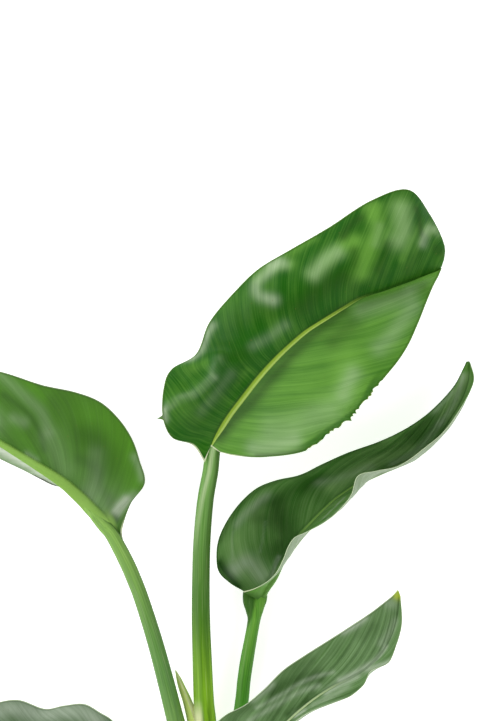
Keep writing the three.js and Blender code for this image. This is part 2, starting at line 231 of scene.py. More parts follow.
def describe_stalk(piece, stations, inside):
    """Writes where each point lies along and round its stalk, and how near a sheath's mouth."""
    passed, run = stalk_lengths(stations)
    centre, across, depth, _, half = stalk_frames(stations, passed)
    places = places_of(piece)
    nearest = np.array([np.argmin(((centre - p) ** 2).sum(1)) for p in places])
    offset = places - centre[nearest]
    x = (offset * across[nearest]).sum(1)
    y = (offset * depth[nearest]).sum(1)
    side = x / half[nearest, 0]
    turned = np.arctan2(side, y / half[nearest, 1]) - LAP_TURN
    lip = np.full(len(places), float(FAR_FROM_LIP))
    for points, faces in inside:
        lip = np.minimum(lip, gaps_to(points, faces, places))
    write(piece, "grain", np.stack([x, y, run[nearest]], 1))
    write(piece, "along", run[nearest] / run[-1])
    write(piece, "side", side)
    write(piece, "seam", np.abs(np.sin(turned / 2)) * 2 * half[nearest, 0])
    write(piece, "lip", lip)


def smooth(piece, crease):
    """Rounded shading, except across edges that turn by more than crease degrees."""
    mesh = piece.data
    mesh.polygons.foreach_set("use_smooth", [True] * len(mesh.polygons))
    mesh.set_sharp_from_angle(angle=math.radians(crease))


def finish_stalk(piece, skin_finish):
    """Smooth sides, with the cut flesh on the faces that the knife left."""
    mesh = piece.data
    mesh.materials.clear()
    mesh.materials.append(skin_finish)
    mesh.materials.append(FLESH)
    smooth(piece, STALK_CREASE)
    knife = (KNIFE_SLACK - REST_SPOT_Y) * MM
    for face in mesh.polygons:
        face.material_index = int(face.normal.y < -KNIFE_FACING and face.center.y < knife)


def paint(red, green, blue):
    """A colour given as on a screen, from 0 to 255."""
    channels = [c / 255 for c in (red, green, blue)]
    return [c / 12.92 if c < 0.04045 else ((c + 0.055) / 1.055) ** 2.4 for c in channels] + [1]


class Look:
    """A socket of a material. Operators on it add Math nodes, and node() adds any other node."""

    def __init__(self, tree, socket=None):
        self.tree = tree
        self.socket = socket

    def node(self, kind, settings=None, values=None, output=0):
        made = self.tree.nodes.new(kind)
        for name, value in (settings or {}).items():
            setattr(made, name, value)
        for name, value in (values or {}).items():
            if isinstance(value, Look):
                self.tree.links.new(value.socket, made.inputs[name])
            else:
                made.inputs[name].default_value = value
        return Look(self.tree, made.outputs[output])

    def maths(self, operation, *values):
        return self.node("ShaderNodeMath", {"operation": operation}, dict(enumerate(values)))

    def __add__(self, other):
        return self.maths("ADD", self, other)

    def __sub__(self, other):
        return self.maths("SUBTRACT", self, other)

    def __rsub__(self, other):
        return self.maths("SUBTRACT", other, self)

    def __mul__(self, other):
        return self.maths("MULTIPLY", self, other)

    def __truediv__(self, other):
        return self.maths("DIVIDE", self, other)

    def __pow__(self, other):
        return self.maths("POWER", self, other)

    __radd__ = __add__
    __rmul__ = __mul__

    def capped(self, most):
        return self.maths("MINIMUM", self, most)

    def sine(self):
        return self.maths("SINE", self)

    def size(self):
        return self.maths("ABSOLUTE", self)

    def step(self, low, high):
        """A soft step of this value, from 0 at low to 1 at high. It falls where low is the higher."""
        values = {"Value": self, "From Min": low, "From Max": high}
        return self.node("ShaderNodeMapRange", {"interpolation_type": "SMOOTHSTEP"}, values)

    def read(self, name, output="Fac"):
        return self.node("ShaderNodeAttribute", {"attribute_name": name}, output=output)

    def parts(self):
        return [self.node("ShaderNodeSeparateXYZ", None, {0: self}, k) for k in range(3)]

    def noise(self, scale=1.0, detail=2.0):
        return self.node("ShaderNodeTexNoise", None, {"Vector": self, "Scale": scale, "Detail": detail})

    def stretched_noise(self, x, y, z):
        return self.node("ShaderNodeCombineXYZ", None, {0: x, 1: y, 2: z}).noise()

    def blend(self, under, over, share):
        """The colour under with a share of the one over. Each is a Look, or red, green and blue."""
        under, over = (paint(*c) if isinstance(c, tuple) else c for c in (under, over))
        return self.node("ShaderNodeMix", {"data_type": "RGBA"}, {0: share, 6: under, 7: over}, 2)

    def tint(self, colour, share):
        return self.blend(self, colour, share)

    def bump(self, strength, reach):
        """A surface direction from this height, whose whole range is reach millimetres."""
        values = {"Height": self, "Strength": strength, "Distance": reach * MM}
        return self.node("ShaderNodeBump", None, values)


def new_finish(name):
    """An empty material: its shader, and a Look to build on."""
    finish = bpy.data.materials.new(name)
    finish.use_nodes = True
    shader = finish.node_tree.nodes["Principled BSDF"]
    shader.inputs["Specular IOR Level"].default_value = MIRROR
    return finish, shader, Look(finish.node_tree)


def join(shader, **looks):
    for name, look in looks.items():
        look.tree.links.new(look.socket, shader.inputs[name.replace("_", " ")])


def stalk_skin_finish(name, foot, middle, top, blush, edge, painted_side_shade=0.5, painted_highlights=(0.2, 0.2), cream=None,
                      wing=0.0, slit=0.0, foot_end=(0.12, 0.5)):
    """Skin of a stalk: long fine fibres, paler foot, a thin pale lip at a sheath's mouth, painted
    highlight stripes, and painted shade down its right side and along its edges.
    """
    finish, shader, look = new_finish(name)
    grain = look.read("grain", "Vector")
    x, y, run = grain.parts()
    along = look.read("along")
    side = look.read("side")
    fibres = look.stretched_noise(x * 1.1, y * 1.1, run * 0.016)
    broad = look.stretched_noise(x * 0.16, y * 0.16, run * 0.007)
    speck = grain.noise(0.55, 4.0)
    colour = look.blend(foot, middle, along.step(*foot_end)).tint(top, along.step(0.45, 0.98))
    colour = colour.tint(blush, broad.step(0.38, 0.68) * 0.55)
    # Painted highlight: a soft pale stripe down the stalk's lower part, and one that drifts across it
    # near its top.
    low_painted_highlight = (side + 0.5, along.step(0.9, 0.7))
    high_painted_highlight = (side + 3.6 - along * 4, along.step(0.66, 0.84))
    for strength, (off_centre, stretch) in zip(painted_highlights, (low_painted_highlight, high_painted_highlight)):
        lit = off_centre.size().step(0.5, 0.0) * (broad + 0.4)
        colour = colour.tint((206, 224, 176), lit * strength * stretch)
    # Painted shade: the stalk's right side darkens, most towards its top, and both its edges darken. The
    # edge colour is also the real dark of its fibres and wing.
    painted_side_shade_mask = (side + broad * 0.5).step(0.35, 1.15) * (0.06 + along.step(0.5, 0.72) * 0.94)
    colour = colour.tint(edge, painted_side_shade_mask * painted_side_shade)
    colour = colour.tint(edge, side.size().step(0.84, 0.99) * 0.6)
    if cream:
        top_end, clear, full = cream
        pale = side.step(clear, full) * along.step(top_end, top_end - 0.05)
        colour = colour.tint((228, 230, 182), pale * 0.8)
    if wing:
        lean = ((along - wing) * 13 - 1).capped(0.02)
        colour = colour.tint(edge, (side - lean).step(0.3, -0.2) * along.step(wing - 0.03, wing) * 0.75)
    if slit:
        seam = look.read("seam")
        colour = colour.tint((204, 226, 128), seam.step(3.4, 1.6) * slit)
        colour = colour.tint((236, 234, 204), seam.step(1.5, 0.5) * slit)
    colour = colour.tint(edge, fibres.step(0.48, 0.74) * 0.35)
    colour = colour.tint((204, 220, 150), fibres.step(0.44, 0.22) * 0.2)
    colour = colour.tint((96, 84, 40), speck.step(0.72, 0.8) * 0.4)
    lip = look.read("lip")
    colour = colour.tint((120, 96, 48), lip.step(1.5, 0.9) * 0.35)
    colour = colour.tint((226, 228, 176), lip.step(0.95, 0.5) * 0.8)
    height = fibres * 0.7 + broad * 0.6 + speck * 0.25
    join(shader, Base_Color=colour, Roughness=0.4 + fibres * 0.14, Normal=height.bump(0.4, 0.5))
    return finish


def cut_flesh_finish():
    """Freshly cut flesh: moist and cream green, with rows of air canals and a greener rind."""
    finish, shader, look = new_finish("cut_flesh")
    place = look.node("ShaderNodeTexCoord", output="Object")
    canals, threads = (
        place.node("ShaderNodeTexVoronoi", {"feature": "F1"}, {"Vector": place, "Scale": scale})
        for scale in (620.0, 1500.0)
    )
    cloud = place.noise(160.0, 3.0)
    colour = look.blend((205, 214, 150), (166, 188, 104), cloud.step(0.35, 0.7))
    colour = colour.tint((236, 236, 196), threads.step(0.32, 0.12) * 0.7)
    colour = colour.tint((112, 132, 62), canals.step(0.3, 0.16) * 0.75)
    colour = colour.tint((122, 156, 62), look.read("rind").step(1.3, 0.3) * 0.8)
    height = canals.step(0.14, 0.34) + threads * 0.3
    join(shader, Base_Color=colour, Roughness=0.3 + cloud * 0.25, Normal=height.bump(0.7, 0.5))
    return finish


grown = []
FLESH = cut_flesh_finish()
young_leaf = new_piece("young_leaf_spear", *stalk_skin(YOUNG_LEAF, lap=LAP))
trim(young_leaf)
describe_stalk(young_leaf, YOUNG_LEAF, [])
write(young_leaf, "rind", np.full(len(young_leaf.data.vertices), YOUNG_RIND))
young_finish = stalk_skin_finish(
    "young_leaf_skin", foot=(228, 232, 176), middle=(184, 218, 96), top=(196, 216, 118),
    blush=(206, 226, 140), edge=(116, 160, 52), painted_highlights=(0, 0), cream=(0.86, -0.1, 0.5), slit=0.45,
)
finish_stalk(young_leaf, young_finish)
grown.append(stalk_skin(YOUNG_LEAF, GROWTH_GAP, LAP))
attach(young_leaf, "root")
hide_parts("young_leaf")

# The tall middle leaf stands behind all others, upper face up. Its stalk is a firm round petiole,
# its left half is blown up into a dome with a fold at its foot, and its right margin was torn.
BLADE_THICKNESS = 0.7
MARGIN_THICKNESS = 0.42
RIM_WIDTH = 4
BLADE_CREASE = 58
LEAST_HEIGHT = 0.3
RIB_RISE = 0.6
RIB_ROOT = 3
RIB_TALL = 1.6
RIB_COLUMNS = 7
RIB_STEADY = 7
RIB_MOST_SHARE = 0.42
ROOT_RUN = 32
SIDE_COLUMNS = 44
ROW_STEP = 1.25
ROW_SAMPLES = 2000
TORN_ROWS = 1.8
PATH_STEPS = 12
# A stalk's rounded end: how far on, and how slim.
SHOULDER = ((1.5, 0.9), (3, 0.7))
# How a stalk's top runs on into the midrib: how far on, how far sunk into it, and how slim.
MERGE_STEPS = ((14, 0.5, 1), (28, 1, 0.94), (42, 1, 0.55))
# Ripples that run along the veins: length, height and phase. The right half's stand further on.
RIPPLES = ((23, 0.5, 0.4), (13.7, 0.3, 2.1), (7.3, 0.16, 4), (4.9, 0.07, 1.1))
HALF_SHIFT = 37
HALF_MARK = 60


class Leaf:
    """A blade's form, read by the rows it has passed: midrib, left and right margin, and bulges."""

    def __init__(self, rows, rib_radius, face_up=1):
        table = np.array(rows, float)
        self.rib, self.left, self.right, self.bulge = (
            path_through(table[:, first : first + 3]) for first in (0, 3, 6, 9)
        )
        self.foot = table[0, :3]
        self.last = len(table) - 1
        self.rib_radius = rib_radius
        self.face_up = face_up

    def way(self, at):
        return way_along(self.rib, at, self.last)

    def rib_lengths(self):
        return lengths_along(self.rib, self.last)

    def rib_size(self, at):
        thick, thin, taper = self.rib_radius
        return thin + (thick - thin) * (1 - at / self.last) ** taper

    def reach(self, at, side):
        """From the midrib to the margin, the left one where side is below 0."""
        return np.where((side < 0)[..., None], self.left(at), self.right(at)) - self.rib(at)

    def sheet(self, at, across, tear=None):
        """The middle surface, at shares across from -1 at the left margin to 1."""
        at, across = np.broadcast_arrays(at, across)
        side = np.where(across < 0, -1.0, 1.0)
        reach = self.reach(at, side)
        share = np.abs(across)
        torn = torn_depth(at, tear) / np.linalg.norm(reach, axis=-1)
        share = share - np.where(side > 0, torn, 0) * ease(0.72, 1, share)
        normal = unit(np.cross(reach, self.way(at)) * side[..., None])
        blown = self.bulge(at)
        rise = np.where(side < 0, blown[..., 0], blown[..., 1]) * 4 * share * (1 - share) * self.face_up
        return self.rib(at) + reach * share[..., None] + normal * rise[..., None]

    def near_path(self, places, path, reach):
        """A soft band, 1 on a path over the blade and fading out over reach millimetres."""
        path = np.reshape(path, (-1, 2))
        path = path_through(path)(np.linspace(0, len(path) - 1, PATH_STEPS * len(path)))
        nearest = np.full(places.shape[:2], np.inf)
        for point in self.sheet(path[:, 0], path[:, 1]):
            nearest = np.minimum(nearest, ((places - point) ** 2).sum(-1))
        return np.exp(-nearest / reach**2)


def onto_rib(stations, leaf):
    """The stalk's stations, run on along the midrib until they sink into it."""
    passed, run = leaf.rib_lengths()
    top = np.array(stations[-1], float)
    offset = top[:3] - leaf.foot
    more = []
    for onward, slid, slim in MERGE_STEPS:
        at = np.interp(onward, run, passed)
        facing = unit(np.cross(leaf.right(at) - leaf.left(at), leaf.way(at))) * leaf.face_up
        radius = leaf.rib_size(at)
        below = 0.5 * RIB_TALL * radius * slid + (1 if leaf.face_up > 0 else 0)
        centre = leaf.rib(at) + offset * (1 - slid) - facing * below
        half = top[3:] * (1 - slid) + np.array([1, 0.5 * RIB_TALL]) * radius * slid
        more.append((*centre, *(half * slim)))
    return list(stations) + more


def make_stalk(name, stations, finish, leaf):
    """A stalk whose foot is a sheath round what grew inside it, and whose top sinks into the rib."""
    stations = onto_rib(stations, leaf)
    points, faces = stalk_skin(stations, shoulder=SHOULDER)
    stalk = new_piece(name, points, faces)
    for inner_points, inner_faces in grown:
        carve(stalk, inner_points, inner_faces, "DIFFERENCE")
    trim(stalk)
    describe_stalk(stalk, stations, grown)
    write(stalk, "rind", gaps_to(points, faces, places_of(stalk)))
    finish_stalk(stalk, finish)
    grown.append(stalk_skin(stations, GROWTH_GAP, shoulder=SHOULDER))
    return stalk


def torn_depth(at, tear):
    """How deep the torn margin's teeth go, in millimetres: uneven bites with small jags."""
    if not tear:
        return np.zeros_like(at)
    through = np.clip((at - tear["start"]) / (tear["stop"] - tear["start"]), 0, 1)
    turn = through * np.pi * tear["teeth"]
    bites = np.abs(np.sin(turn + 1.1 * np.sin(through * 13)))
    jags = np.abs(np.sin(turn * 2.1 + 1.4 * np.sin(through * 23)))
    steps = ease(0.5, 0.57, through) * ease(0.92, 0.62, through)
    return (tear["depth"] * (0.45 * bites + 0.4 * jags) + 3 * steps) * np.sin(through * np.pi) ** 0.4


def blade_rows(leaf, tear):
    """Where the mesh's rows stand. They stand closer beside a torn margin."""
    passed = np.linspace(0, leaf.last, ROW_SAMPLES)
    stretch = np.linalg.norm(np.diff(leaf.rib(passed), axis=0), axis=1)
    if tear:
        middles = (passed[1:] + passed[:-1]) / 2
        beside_tear = (middles > tear["start"]) & (middles < tear["stop"])
        stretch = stretch * np.where(beside_tear, TORN_ROWS, 1)
    run = np.r_[0, np.cumsum(stretch)]
    return np.interp(np.linspace(0, run[-1], int(run[-1] / ROW_STEP) + 1), run, passed)[:, None]


def blade_columns(leaf, at, radius):
    """Where the columns stand: close together over the midrib, then evenly out to each margin."""
    over_rib = np.sin(np.linspace(0, np.pi / 2, RIB_COLUMNS + 1))[1:]
    beyond = np.linspace(0, 1, SIDE_COLUMNS + 1)[1:]
    beyond = beyond + 0.06 * np.sin(beyond * np.pi)
    halves = []
    for margin in (leaf.left, leaf.right):
        width = np.linalg.norm(margin(at) - leaf.rib(at), axis=-1)
        near = np.minimum(radius / width, RIB_MOST_SHARE)
        halves.append(np.hstack([near * over_rib, near + (1 - near) * beyond]))
    return np.hstack([-halves[0][:, ::-1], np.zeros_like(at), halves[1]])


def vein_start(at, share, side, lead, last):
    """How far along the midrib the vein through each place leaves it, in rows."""
    most = np.where(side < 0, lead["left"], lead["right"])
    lean = most * np.tanh((at + lead["early"]) / most) * (1 - np.exp(-lead["late"] * (last - at) / most))
    return at - lean * share ** lead["bend"]


def sheet_faces(count, columns):
    """Faces of an upper sheet of points, of a lower one after it, and round the rim."""
    i, j = np.meshgrid(np.arange(count - 1), np.arange(columns - 1), indexing="ij")
    a = (i * columns + j).ravel()
    quads = np.stack([a, a + 1, a + 1 + columns, a + columns], 1)
    under = count * columns
    end = np.arange(columns - 1)
    side = np.arange(count - 1) * columns
    near_end = np.stack([end + 1, end, end + under, end + 1 + under], 1)
    far_end = np.stack([end, end + 1, end + 1 + under, end + under], 1) + (count - 1) * columns
    left_side = np.stack([side, side + columns, side + columns + under, side + under], 1)
    right_side = left_side[:, ::-1] + columns - 1
    return np.vstack([quads, quads[:, ::-1] + under, near_end, far_end, left_side, right_side])


def make_blade(name, finish, leaf, lead, ripple=1.0, calm_margin=8.0, tear=None, folds=(),
               patches=(), fresh_tone_and_painted_light=(0.3, 0.3), thorn=None, root_line=9.0):
    """One closed sheet with its midrib: rippled along its veins, folded, and closed at its rim."""
    last = leaf.last
    at = blade_rows(leaf, tear)
    radius = leaf.rib_size(at)
    across = blade_columns(leaf, at, radius)
    base = leaf.sheet(at, across, tear)
    if thorn:
        place, length, slim = thorn
        out = unit(base[:, :1] - base[:, 1:2])
        base[:, :1] += out * (length * np.exp(-(((at - place) / slim) ** 2)))[..., None]
    normal = unit(np.cross(np.gradient(base, axis=1), np.gradient(base, axis=0)))
    centre = across.shape[1] // 2
    side = np.where(np.arange(across.shape[1]) < centre, -1.0, 1.0)[None, :]
    share = np.abs(across)
    width = np.linalg.norm(leaf.reach(at, side), axis=-1)
    from_rib = share * width
    rim = (1 - share) * width
    # Ripples along the veins, folds, and the torn margin's roll lift the sheet.
    passed, run = leaf.rib_lengths()
    start = vein_start(at + 0 * across, share, side, lead, last)
    vein = np.interp(start, passed, run) + np.minimum(start, 0) * run[-1] / last
    beat = vein + side * HALF_SHIFT
    waves = sum(
        size * np.sin(2 * np.pi * beat / length + phase + 0.6 * np.sin(from_rib / 31 + phase))
        for length, size, phase in RIPPLES
    )
    calm = ease(0.6, 2.2, from_rib / radius) * ease(0, 9, base[..., 2]) * ease(0, 2.5, at)
    calm = calm * (0.35 + 0.65 * ease(0.5, 4, last - at))
    calm = calm * (0.12 + 0.88 * ease(0, calm_margin, rim))
    lift = ripple * waves * calm * (0.55 + 0.45 * share)
    for height, fold_reach, *path in folds:
        lift = lift + height * leaf.near_path(base, path, fold_reach) * calm
    ragged = np.zeros(across.shape)
    if tear:
        ragged = ease(tear["start"] - 0.3, tear["start"] + 0.3, at)
        ragged = ragged * ease(tear["stop"] + 0.6, tear["stop"] - 0.4, at) * (side > 0)
        lift = lift - tear["roll"] * ragged * ease(10, 0, rim) ** 1.5
        ragged = ragged * ease(10.5, 6.5, rim + torn_depth(at, tear))
    base = base + normal * lift[..., None]
    # Both faces, from a thickness that thins to the rim and a rounded midrib below.
    facing = normal * leaf.face_up
    spine = np.pad(facing[:, centre], ((RIB_STEADY, RIB_STEADY), (0, 0)), mode="edge")
    evenly = np.ones(2 * RIB_STEADY + 1)
    spine = unit(np.stack([np.convolve(spine[:, k], evenly, "valid") for k in range(3)], 1))
    run_at = np.interp(at, passed, run)
    slim = 0.42 + 0.58 * ease(0, ROOT_RUN, run_at)
    over = from_rib / (radius * slim)
    toward = 1 - ease(0, 1, over)[..., None]
    facing = unit(toward * spine[:, None] + (1 - toward) * facing)
    thick = MARGIN_THICKNESS + (BLADE_THICKNESS - MARGIN_THICKNESS) * ease(0, RIM_WIDTH, rim)
    bar = (RIB_TALL * radius * slim - BLADE_THICKNESS / 2) * np.clip(1 - over**2, 0, None) ** 0.5
    strip = 0.75 * RIB_RISE * np.clip(1 - (over / 0.42) ** 2, 0, None) ** 0.5
    upper = base + facing * (thick / 2 + strip)[..., None]
    lower = base - facing * (thick / 2 + bar)[..., None]
    lower[0] -= leaf.way(at[0]) * RIB_ROOT * ease(1.05, 0.8, over[0])[:, None]
    upper[..., 2] = np.maximum(upper[..., 2], LEAST_HEIGHT)
    lower[..., 2] = np.maximum(lower[..., 2], 0)
    faces = sheet_faces(*across.shape)
    if leaf.face_up < 0:
        faces = faces[:, ::-1]
    blade = new_piece(name, np.vstack([upper.reshape(-1, 3), lower.reshape(-1, 3)]), faces.tolist())
    blade.data.materials.append(finish)
    smooth(blade, BLADE_CREASE)

    def both(values):
        flat = np.broadcast_to(values, across.shape).ravel()
        return np.r_[flat, flat]

    write(blade, "grain", np.stack([both(vein), both(from_rib), both(side * HALF_MARK)], 1))
    write(blade, "over_rib", both(over))
    write(blade, "rim", both(np.minimum(rim, run_at + root_line)))
    write(blade, "along", both(at / last))
    write(blade, "lower_face", np.r_[np.zeros(across.size), np.ones(across.size)])
    write(blade, "ragged", both(ragged))
    patches = dict(patches)
    # Masks on the points: fresher green with painted light, painted shade, wax with painted sheen, and
    # marks.
    for mask in ("fresh_tone_and_painted_light", "shade", "wax_and_painted_sheen", "mark"):
        cover = np.where(side < 0, *fresh_tone_and_painted_light) if mask == "fresh_tone_and_painted_light" else np.zeros(across.shape)
        for strength, patch_reach, *path in patches.get(mask, ()):
            cover = cover + (1 - cover) * strength * leaf.near_path(base, path, patch_reach)
        write(blade, mask, both(cover))
    return blade


def blade_finish(name, dark, deep, fresh, wax, hidden, rib_upper, rib_under, margin, root,
                 mark=(60, 50, 40), shows_lower=False, streaks=1.0, gloss=0.36, rib_start=0.0,
                 rib_end=0.7, root_reach=3.0, mouth=None, far_margin=None):
    """Leaf skin: streaked along its veins, a pale midrib, wax with painted sheen and painted shade in
    patches, and a thin paler rim.
    """
    finish, shader, look = new_finish(name)
    vein, out, half = look.read("grain", "Vector").parts()
    below = look.read("lower_face")
    above = 1 - below
    along = look.read("along")
    place = look.node("ShaderNodeTexCoord", output="Object")
    broad = look.stretched_noise(vein / 19, out / 120, half)
    bands = look.stretched_noise(vein / 4.6, out / 90, half)
    fine = look.stretched_noise(vein / 1.3, out / 60, half)
    cloud = place.noise(16.0, 3.0)
    threads = 1 - ((vein / 2.3 + bands * 0.7) * math.pi).sine().size() ** 0.35
    # The face that the eye meets: two greens with painted light, painted shade, and wax with painted
    # sheen in patches.
    share = look.read("fresh_tone_and_painted_light") + (broad + cloud - 1) * 0.8
    share = share + (bands - 0.5) * (0.9 * streaks) + (fine - 0.5) * (0.8 * streaks)
    shown = look.blend(deep, fresh, share)
    shown = shown.tint(fresh, threads * fine.step(0.3, 0.7) * (0.32 * streaks))
    shown = shown.tint(dark, look.read("shade") * (0.55 + bands * 0.9))
    # Wax bloom, with painted sheen laid on in the same pale wax colour where the blade would catch the
    # light.
    wax_and_painted_sheen = look.read("wax_and_painted_sheen") * (0.3 + fine * 0.6 + bands * 0.9)
    shown = shown.tint(wax, wax_and_painted_sheen)
    back = look.blend(hidden, wax, (bands + fine - 0.8) * 0.5).tint(deep, (0.9 - broad - bands) * 0.5)
    colour = shown.tint(back, above if shows_lower else below)
    # The midrib: a flat pale strip above, with painted shade beside it and a painted highlight along its
    # crest, and a round bar below.
    over = look.read("over_rib")
    across = over * half / HALF_MARK
    rib_part = along.step(rib_end + 0.06, rib_end - 0.14)
    if rib_start:
        rib_part = rib_part * along.step(rib_start - 0.04, rib_start + 0.04)
    flat_rib = across.step(-0.75, -0.25) * across.step(0.62, 0.5) * rib_part
    on_rib = flat_rib * above + over.step(1.12, 0.86) * below
    rib_streak = look.stretched_noise(across * 3.0, vein / 70, half)
    # Painted shade on the upper face along the midrib: beside its pale strip, and in its crease past
    # where the strip ends.
    colour = colour.tint(dark, over.step(1.5, 0.7) * above * 0.4)
    colour = colour.tint(look.blend(rib_upper, rib_under, below), on_rib * (0.7 + rib_streak * 0.4))
    # Painted highlight: a light line along the crest of the midrib's strip.
    painted_rib_highlight = across.step(0.05, 0.3) * across.step(0.56, 0.44) * rib_part * above
    colour = colour.tint((190, 212, 132), painted_rib_highlight * 0.35)
    at_root = along.step(0.22, 0.08) * over.step(root_reach, root_reach - 1.8)
    colour = colour.tint(root, at_root * below * 0.9)
    # Painted shade on the lower face at the blade's root, where it meets its stalk.
    if mouth:
        colour = colour.tint(mouth, along.step(0.04, 0.0) * below * 0.8)
    # The rim: a dark line, then a pale edge, and ragged flesh where it was torn.
    rim = look.read("rim")
    colour = colour.tint(dark, rim.step(2.6, 1.4) * 0.45)
    pale_line = rim.step(1.3, 0.5) * 0.8
    base_line = rim.step(2.0, 1.0) * along.step(0.1, 0.05) * 0.8
    if far_margin:
        near = half.step(-HALF_MARK, HALF_MARK)
        colour = colour.tint(far_margin, pale_line * (1 - near))
        pale_line = pale_line * near
        base_line = base_line * near
    colour = colour.tint(margin, pale_line).tint((222, 230, 190), base_line)
    ragged = look.read("ragged")
    # Painted shade darkens the torn band where it rolls under; pale torn flesh shows at its very edge.
    colour = colour.tint(deep, ragged * (0.3 + bands * 0.6))
    colour = colour.tint((160, 176, 96), ragged * rim.step(1.2, 0.3) * fine.step(0.4, 0.6) * 0.8)
    colour = colour.tint(mark, look.read("mark"))
    specks = place.noise(330.0).step(0.72, 0.77)
    colour = colour.tint((104, 92, 46), specks * 0.3)
    height = fine * 0.35 + bands * 0.9 + threads * 0.4 + cloud * 0.5
    rough = gloss + fine * 0.1 + wax_and_painted_sheen * 0.15
    join(shader, Base_Color=colour, Roughness=rough, Normal=height.bump(0.35, 0.5))
    return finish


MIDDLE_STALK = [
    (2, -6, 20, 9, 9),
    (2.5, 40, 21, 10, 10),
    (2.5, 80, 24, 11.2, 11.2),
    (0.5, 115, 27, 11.4, 11.4),
    (-2, 148, 31, 11, 11),
    (-3.5, 168.5, 33.5, 10.3, 10.3),
    (-5, 209.5, 40, 9.8, 9.8),
    (-6.2, 250, 46, 9.3, 9.3),
    (-6.2, 290.5, 52, 8.9, 8.9),
    (-5, 331, 58, 8.6, 8.6),
    (-1.5, 371, 65, 8.2, 8.2),
    (3.6, 400, 71, 7.9, 7.9),
    (6.4, 423, 74, 7.6, 7.5),
]
# Each row of a blade: places on its midrib and its left and right margin, and how far its
# halves bulge.
MIDDLE_ROWS = [
    (3.6, 425.5, 80.5, -2, 409, 82, 13, 419.5, 83, 0, 0),
    (11.2, 438.2, 82, -14, 426.5, 83, 29, 416, 88, 1, 1),
    (22.5, 456.5, 84, -34.5, 434.5, 95, 58, 415, 98, 2, 2),
    (36, 474.2, 86, -43.3, 455.5, 106, 98, 421.5, 108, 2, 3),
    (50.7, 492.8, 89, -42.3, 484, 101, 129, 442, 114, 5, 3),
    (65.7, 509.6, 91, -34.5, 502, 90, 154, 460.5, 117, 9, 3),
    (80.7, 524.2, 92, -10.5, 517, 85, 169, 486, 117, 11, 3),
    (98.8, 539.4, 93, 2.5, 548, 88, 187, 508, 116, 12, 3),
    (116.8, 550.8, 93, 24, 574.5, 92, 199, 526.5, 114, 13, 3),
    (134.7, 561.6, 92, 50.5, 600.5, 92, 209.5, 549.5, 110, 14, 3),
    (153.5, 572.5, 90, 82.5, 620, 91, 217, 568, 105, 14, 3),
    (175, 579, 88, 120.5, 642, 89, 224, 584, 99, 14, 2),
    (195, 586, 84, 162.5, 669, 85, 229, 593, 92, 12, 1),
    (211, 591.5, 80, 200, 680.5, 79, 231.5, 598, 85, 9, 1),
    (224, 596.5, 76, 222, 656.5, 71, 233, 601, 79, 5, 0),
    (230, 599.5, 74, 237, 625, 69, 233.5, 602, 75.5, 2, 0),
    (233, 603, 72, 234.5, 605, 71, 233.8, 602.2, 72, 0, 0),
]
# Half the midrib's width at its foot and at its tip, and how fast it tapers.
MIDDLE_RIB = (7.3, 1, 0.9)
MIDDLE_TEAR = {"start": 3, "stop": 6.2, "depth": 5, "teeth": 6.5, "roll": 3.4}
# How many rows the veins run on before they reach each margin, how soon, and how they bend.
MIDDLE_VEINS = {"left": 4, "right": 3.8, "early": 0, "late": 1.6, "bend": 1}
